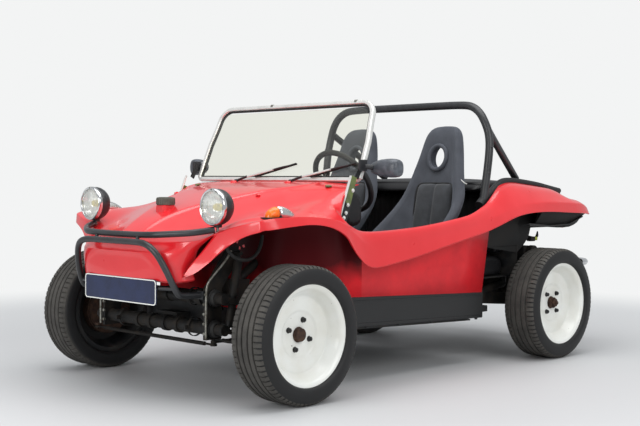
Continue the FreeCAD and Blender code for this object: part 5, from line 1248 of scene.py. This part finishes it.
def pleated(mesh, section):
    """A cushion across the car; section is (ahead, height, how much the pleats sink it)."""
    middle_a, middle_z = (sum(point[axis] for point in section) / len(section) for axis in (0, 1))
    rings = []
    for k in range(PLEATS * 4 + 1):
        y = -HALF_BENCH + 2 * HALF_BENCH * k / (PLEATS * 4)
        sink = (1 - abs(math.sin(math.pi * k / 4))) ** 1.5 * 9
        end = 0.25 * max(0.0, (abs(y) - HALF_BENCH + 22) / 22) ** 2
        rings.append([(a + (middle_a - a) * pull, y, z + (middle_z - z) * pull)
                      for a, z, pull in ((a, z, end + sink * depth / 150) for a, z, depth in section)])
    loft(mesh, rings)


pleated(bench, ((-1474, 458, 0.6), (-1472, 510, 1), (-1480, 532, 1), (-1505, 546, 1), (-1580, 550, 1), (-1680, 544, 1),
                (-1750, 532, 0.5), (-1770, 500, 0), (-1768, 445, 0), (-1720, 438, 0), (-1550, 438, 0),
                 (-1490, 440, 0)))
pleated(rest, ((-1700, 552, 0.5), (-1690, 600, 1), (-1692, 700, 1), (-1698, 800, 1), (-1706, 860, 1), (-1722, 880, 1),
               (-1745, 884, 0.6), (-1770, 876, 0), (-1782, 850, 0), (-1783, 700, 0), (-1783, 600, 0), (-1778, 552, 0)))
for name, mesh in (("rear_cushion", bench), ("rear_back_rest", rest)):
    made = rounded(piece(name, mesh, vinyl), 1)
    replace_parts(made, "rear_seat")

cover = bmesh.new()
COVER = (
    # ahead, half width, height of the cover's edge, of its middle, and of its underside
    (-1505, 470, 896, 900, 886), (-1530, 492, 918, 926, 888), (-1580, 502, 938, 950, 889), (-1700, 506, 944, 962, 889),
    (-1900, 504, 938, 958, 889), (-2090, 502, 924, 944, 887), (-2200, 500, 911, 928, 884), (-2250, 497, 906, 917, 878),
    (-2284, 495, 902, 908, 866), (-2290, 490, 890, 896, 866),
)
rings = []
for ahead, half, edge_z, middle_z, under in COVER:
    top = [(share * half, edge_z + (middle_z - edge_z) * (1 - abs(share) ** 2.5))
           for share in (-0.97, -0.8, -0.4, 0, 0.4, 0.8, 0.97)]
    rim = (edge_z + under) / 2
    rings.append([(ahead, y, z) for y, z in [(-half, rim), *top, (half, rim), (half * 0.98, under), (0, under),
                                             (-half * 0.98, under)]])
loft(cover, rings)
deck = rounded(piece("padded_deck_cover", cover, vinyl))
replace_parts(deck, "deck_cover")
roll = bmesh.new()
for side in (1, -1):
    route = [(-1425, 580, 816), (-1479, 571, 850), (-1549, 561, 880), (-1611, 551, 912), (-1670, 541, 938),
             (-1740, 534, 944), (-1812, 530, 943), (-2019, 522, 926), (-2150, 516, 908), (-2278, 506, 892)]
    pipe(roll, [(ahead, side * y, z) for ahead, y, z in route], 22, 16, 2, lambda t: 25 - 9 * t)
pipe(roll, [(-1580, -478, 920), (-1560, -448, 920), (-1558, 0, 922), (-1560, 448, 920), (-1580, 478, 920)], 20, 14)
edge_roll = piece("cockpit_roll", roll, vinyl)
edge_roll.data.shade_smooth()
lip = bmesh.new()
slab(lip, (-2306, -500, 862), (-2272, 500, 906), 5)
piece("deck_lip", lip, vinyl)

# ---------------------------------------------------------------------------
# Push bar, roll bar and rear bumper: bent and welded steel tube, the first two in black
# paint, the bumper chromed. Feet are bolted to the frame and to the sills.
# ---------------------------------------------------------------------------
# Stove enamel on tube: black, even gloss with long clean highlights and a little dust.
tube_paint = weathered("Black tube enamel", "#232426", "#303134", 110, 5, (0.25, 0.42), 0.06)
dress(chrome, "rear_bumper")


def both_sides(half):
    """A route on the left, from its foot up, carried on down the right."""
    return half + tuple((ahead, -y, z) for ahead, y, z in reversed(half))


guard = bmesh.new()
NEAR_HOOP = ((232, 352, 447), (332, 347, 449), (352, 345, 458), (374, 339, 500), (398, 320, 566), (418, 294, 622),
             (432, 258, 657), (436, 214, 671), (434, 150, 673))
LAMP_BAR = ((232, 438, 729), (266, 420, 723), (310, 384, 715), (354, 318, 710), (390, 264, 706), (403, 226, 704),
            (409, 120, 701))
for half in (NEAR_HOOP, LAMP_BAR):
    pipe(guard, both_sides(half), 14, 20)
for side in (1, -1):
    pipe(guard, [(420, side * 150, 672), (410, side * 150, 701)], 8, 10, 0)
    slab(guard, (382, side * 240 - 10, 464), (396, side * 240 + 10, 492))
    pipe(guard, [(364, side * 330, 479), (388, side * 240, 478)], 8, 10, 0)
    slab(guard, (226, side * 352 - 18, 430), (238, side * 352 + 18, 466))
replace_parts(piece("push_guard", guard, tube_paint), "push_bar")
bars, feet = bmesh.new(), bmesh.new()
HOOP = ((-1400, 560, 382), (-1425, 568, 600), (-1458, 575, 812), (-1486, 578, 950), (-1508, 582, 1110),
         (-1518, 569, 1190), (-1514, 546, 1250), (-1516, 511, 1302), (-1522, 455, 1338), (-1527, 380, 1346),
         (-1530, 200, 1347))
pipe(bars, both_sides(HOOP), 21, 24)
for side in (1, -1):
    pipe(bars, [(-1512, side * 562, 1218), (-1548, side * 553, 1192), (-1900, side * 474, 958)], 19, 20)
    slab(feet, (-1442, side * 522, 378), (-1355, side * 596, 384), 2)
    for ahead in (-1432, -1368):
        for y in (533, 584):
            hex_bolt(feet, (ahead, side * y, 384), (0, 0, 1), 12, 7)
    for ahead, y, z in ((-1504, 597, 1120), (-1486, 594, 985)):
        turned(feet, [(0, 0), (6, 0), (6, 5), (4, 7), (0, 7)], (ahead, side * y, z), (0.5, side * 0.9, 0), 10)
roll_bar = piece("roll_hoop", bars, tube_paint)
roll_bar.data.shade_smooth()
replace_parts(roll_bar, "roll_bar")
piece("roll_bar_fittings", feet, tube_paint)

# ---------------------------------------------------------------------------
# Lamps: headlamps in black bowls with chromed rims and fluted glass, amber flashers in
# teardrop housings, red tail lamps; the blank number plate and the filler cap.
# ---------------------------------------------------------------------------
# Silvered reflector behind the glass: a bright, slightly hazy mirror.
silver = weathered("Silvered reflector", "#F6F6F4", "#ECECE8", 60, 5, (0.12, 0.2), 0.05, Metallic=0.9)
# Lamp glass: clear, its face pressed into upright flutes that break up what lies behind.
lamp_glass, shader = new_coat("Fluted lamp glass", Roughness=0.02, IOR=1.5)
tree = shader.id_data
flutes = add(tree, "ShaderNodeTexWave", {"Vector": spread(shader), "Scale": 32.0, "Distortion": 0.4},
             bands_direction="Y")
relief = bump(flutes.outputs["Fac"], 0.6, 0.003)
clear = add(tree, "ShaderNodeBsdfTransparent", {"Color": tint("#F4F5F2")})
gloss = add(tree, "ShaderNodeBsdfGlossy", {"Color": tint("#FFFFFF"), "Roughness": 0.05, "Normal": relief})
milky = add(tree, "ShaderNodeBsdfDiffuse", {"Color": tint("#FBFCFA"), "Normal": relief})
soft = add(tree, "ShaderNodeMixShader", {0: 0.34, 1: clear.outputs[0], 2: milky.outputs[0]})
edge_on = add(tree, "ShaderNodeLayerWeight", {"Blend": 0.1, "Normal": relief}).outputs["Facing"]
shown(add(tree, "ShaderNodeMixShader", {0: edge_on, 1: soft.outputs[0], 2: gloss.outputs[0]}))
# Brass bulb shield, warm yellow, the one coloured thing inside the lamp.
brass = weathered("Yellow bulb shield", "#EBD436", "#DCC02C", 20, 2, (0.25, 0.4), 0.05, Metallic=0.3)
# Coloured plastic lenses: dyed through, glossy, lit by what shines behind them.
amber = weathered("Amber lens plastic", "#F07A1C", "#E86A10", 25, 2, (0.12, 0.2), 0.1, Subsurface_Weight=0.2)
ruby = weathered("Red lens plastic", "#A80F14", "#8C0B10", 25, 2, (0.12, 0.2), 0.1, Subsurface_Weight=0.1)

LAMP_AHEAD, LAMP_Y, LAMP_Z = 246, 443, 824
TAIL_LAMP_AHEAD, TAIL_LAMP_Y, TAIL_LAMP_Z = -2371, 400, 746
FLASHER_Y, FLASHER_Z = 618, 779
FLASHER = (
    # ahead, half width, top above the fender, for the amber lens and then the tail behind it
    (102, 6, 12), (99, 14, 22), (90, 21, 36), (76, 25, 45), (60, 27, 51), (52, 27.5, 52), (44, 27, 53),
)
FLASHER_TAIL = ((45, 28.5, 55), (20, 27.5, 54), (-6, 24, 47), (-32, 17, 35), (-52, 9, 23), (-61, 4, 14))
LAMP_PARTS = (
    # name, finish, slot, steps round, and its section ahead of the lamp's middle
    ("rim", chrome, "chrome", 64, [(70, -8), (78, -12), (79, -8), (79, 1), (77.5, 6), (74, 8.5), (70, 7), (67.5, 2),
                                   (67.5, -4), (70, -8)]),
    ("reflector", silver, "chrome", 48, [(68, -4), (62, -18), (50, -34), (34, -46), (16, -52), (0, -53)]),
    ("bulb", brass, "chrome", 20, [(0, -50), (14, -50), (16, -44), (16, -18), (12, -10), (0, -8)]),
    ("lens", lamp_glass, "clear_glass", 48, [(69, -1), (66, 3), (52, 8), (34, 11.5), (16, 13), (0, 13.5)]),
)
for label, side in SIDES:
    place = (LAMP_AHEAD, side * LAMP_Y, LAMP_Z)
    bowl = bmesh.new()
    turned(bowl, [(70, -4), (76, -5), (77.5, -9), (77.5, -28), (75, -42), (68, -57), (56, -71), (38, -82), (18, -87),
                  (0, -88)], place, (1, 0, 0), 64)
    strip(bowl, (216, side * LAMP_Y, 760), (216, side * LAMP_Y, 738), 30, 22, (1, 0, 0), 2)
    turned(bowl, [(0, -12), (14, -12), (16, -8), (16, 4), (12, 8), (0, 8)], (218, side * LAMP_Y, 752), (0, 0, 1), 20)
    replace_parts(piece(f"lamp_bowl_{label}", bowl, plastic), "headlamps")
    for name, coat, slot, steps, section in LAMP_PARTS:
        part = bmesh.new()
        turned(part, section, place, (1, 0, 0), steps)
        piece(f"lamp_{name}_{label}", part, coat)
    screws = bmesh.new()
    turned(screws, [(0, 0), (3.6, 0), (3.6, 2.5), (2, 3.5), (0, 3.5)], (253, side * LAMP_Y, 898), (1, 0, 0.3), 10)
    pipe(screws, [(218, side * LAMP_Y, 742), (218, side * LAMP_Y, 712)], 6, 10, 0)
    piece(f"lamp_screws_{label}", screws, zinc)

    for name, table, coat, slot in (("flasher_lens", FLASHER, amber, "lamp_amber"),
                                    ("flasher_tail", FLASHER_TAIL, polished, "chrome")):
        part = bmesh.new()
        loft(part, [[(ahead, side * (FLASHER_Y + y * half), FLASHER_Z + z * top - (y * 5 if z < 0.1 else 0))
                     for y, z in ((-1, 0), (-0.97, 0.45), (-0.72, 0.82), (0, 1), (0.72, 0.82), (0.97, 0.45), (1, 0))]
                    for ahead, half, top in table])
        made = rounded(piece(f"{name}_{label}", part, coat))
        if coat is amber:
            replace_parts(made, "indicators")
    gasket = bmesh.new()
    slab(gasket, (30, side * FLASHER_Y - 31, 774), (108, side * FLASHER_Y + 31, 783), 3)
    slab(gasket, (-54, side * FLASHER_Y - 12, 776), (34, side * FLASHER_Y + 12, 786), 3)
    piece(f"flasher_gasket_{label}", gasket, boot_rubber)

    tail, ring = bmesh.new(), bmesh.new()
    place = (TAIL_LAMP_AHEAD, side * TAIL_LAMP_Y, TAIL_LAMP_Z)
    for section in ([(0, 0), (38, 0), (38, 12), (36, 20), (28, 27), (14, 31), (0, 32)],
                    *([(radius - 2, 26), (radius, 32 - radius * 0.25), (radius + 2, 26)] for radius in (12, 20, 28))):
        turned(tail, section, place, (-1, 0, 0))
    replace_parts(piece(f"tail_lens_{label}", tail, ruby), "rear_lamps")
    turned(ring, [(36, -2), (42, -2), (43, 4), (40, 8), (37, 6), (36, -2)], place, (-1, 0, 0))
    piece(f"tail_ring_{label}", ring, chrome)

# Number plate: pressed aluminium, navy with a white line round the rounded edge; it is blank.
navy = weathered("Navy plate enamel", "#15234A", "#101B3C", 60, 3, (0.3, 0.45), 0.05)
plate, border = bmesh.new(), bmesh.new()


def plate_ring(inset, ahead):
    """A rounded rectangle of 32 points, standing across the car."""
    wide, tall, radius, ring = 260 - inset, 55 - inset, 16 - inset * 0.6, []
    for corner, (y, z) in enumerate(((1, 1), (-1, 1), (-1, -1), (1, -1))):
        for k in range(8):
            t = math.radians(90 * corner + 90 * k / 7)
            ring.append((ahead, y * (wide - radius) + math.cos(t) * radius,
                         460 + z * (tall - radius) + math.sin(t) * radius))
    return ring


loft(plate, [plate_ring(0, 396), plate_ring(0, 399), plate_ring(1, 400)])
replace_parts(piece("blank_plate", plate, navy), "number_plate")
loft(border, [plate_ring(1, 399.5), plate_ring(1, 401.4), plate_ring(5.5, 401.4), plate_ring(5.5, 399.5)], False)
piece("plate_border", border, wheel_paint)

# Filler: a square red base moulded on the hood, and a ribbed cap of black nylon that the sun
# has bleached to a dull, warm grey.
cap_plastic = weathered("Sun-bleached black nylon", "#4A4A40", "#64635A", 30, 2, (0.5, 0.7), 0.3)
FILLER, CAP_FOOT, CAP_RIBS = 148, 824, 24
filler, cap, grip_rib, rib = bmesh.new(), bmesh.new(), bmesh.new(), bmesh.new()
loft(filler, [[(FILLER + a * size, y * size, z) for a, y in ((-1, -0.7), (-0.7, -1), (0.7, -1), (1, -0.7), (1, 0.7),
                                                          (0.7, 1), (-0.7, 1), (-1, 0.7))]
              for size, z in ((36, 792), (35, 812), (34, 822), (32, 824))])
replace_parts(piece("filler_base", filler, gelcoat), "fuel_filler")
turned(cap, [(0, 0), (39, 0), (41.5, 2), (41.5, 31), (39, 34), (25, 34), (23, 31), (8, 31), (0, 33)],
       (FILLER, 0, CAP_FOOT), (0, 0, 1), 48)
slab(grip_rib, (FILLER - 36, -6, 852), (FILLER + 36, 6, 860), 2)
piece("filler_grip", grip_rib, cap_plastic)
piece("filler_cap", cap, cap_plastic)
slab(rib, (FILLER + 40, -2.2, 828), (FILLER + 43, 2.2, 852), 0.8)
repeated("filler_ribs", rib, cap_plastic, "chassis", CAP_RIBS, turn=(0, 0, math.tau / CAP_RIBS),
         pivot=(FILLER, 0, CAP_FOOT))

# Fixings that show on the hood: a domed red bolt and a grommet in green-grey paint on each side.
studs, grommets = bmesh.new(), bmesh.new()
for side in (1, -1):
    turned(studs, [(0, -6), (11, -6), (11, 1), (8, 3), (0, 4)], (-147, side * 295, 875), (0, side * 0.35, 1), 20)
    turned(grommets, [(0, -4), (15, -4), (15, 1.5), (11, 3.5), (0, 3.5)], (-425, side * 468, 915),
           (0, side * 0.1, 1), 24)
for y in (-222, 170):
    turned(studs, [(0, -8), (19, -8), (17, 4), (13, 8), (0, 8)], (-452, y, 928), (0.15, 0, 1), 24)
piece("hood_studs", studs, gelcoat)
piece("hood_grommets", grommets, olive)
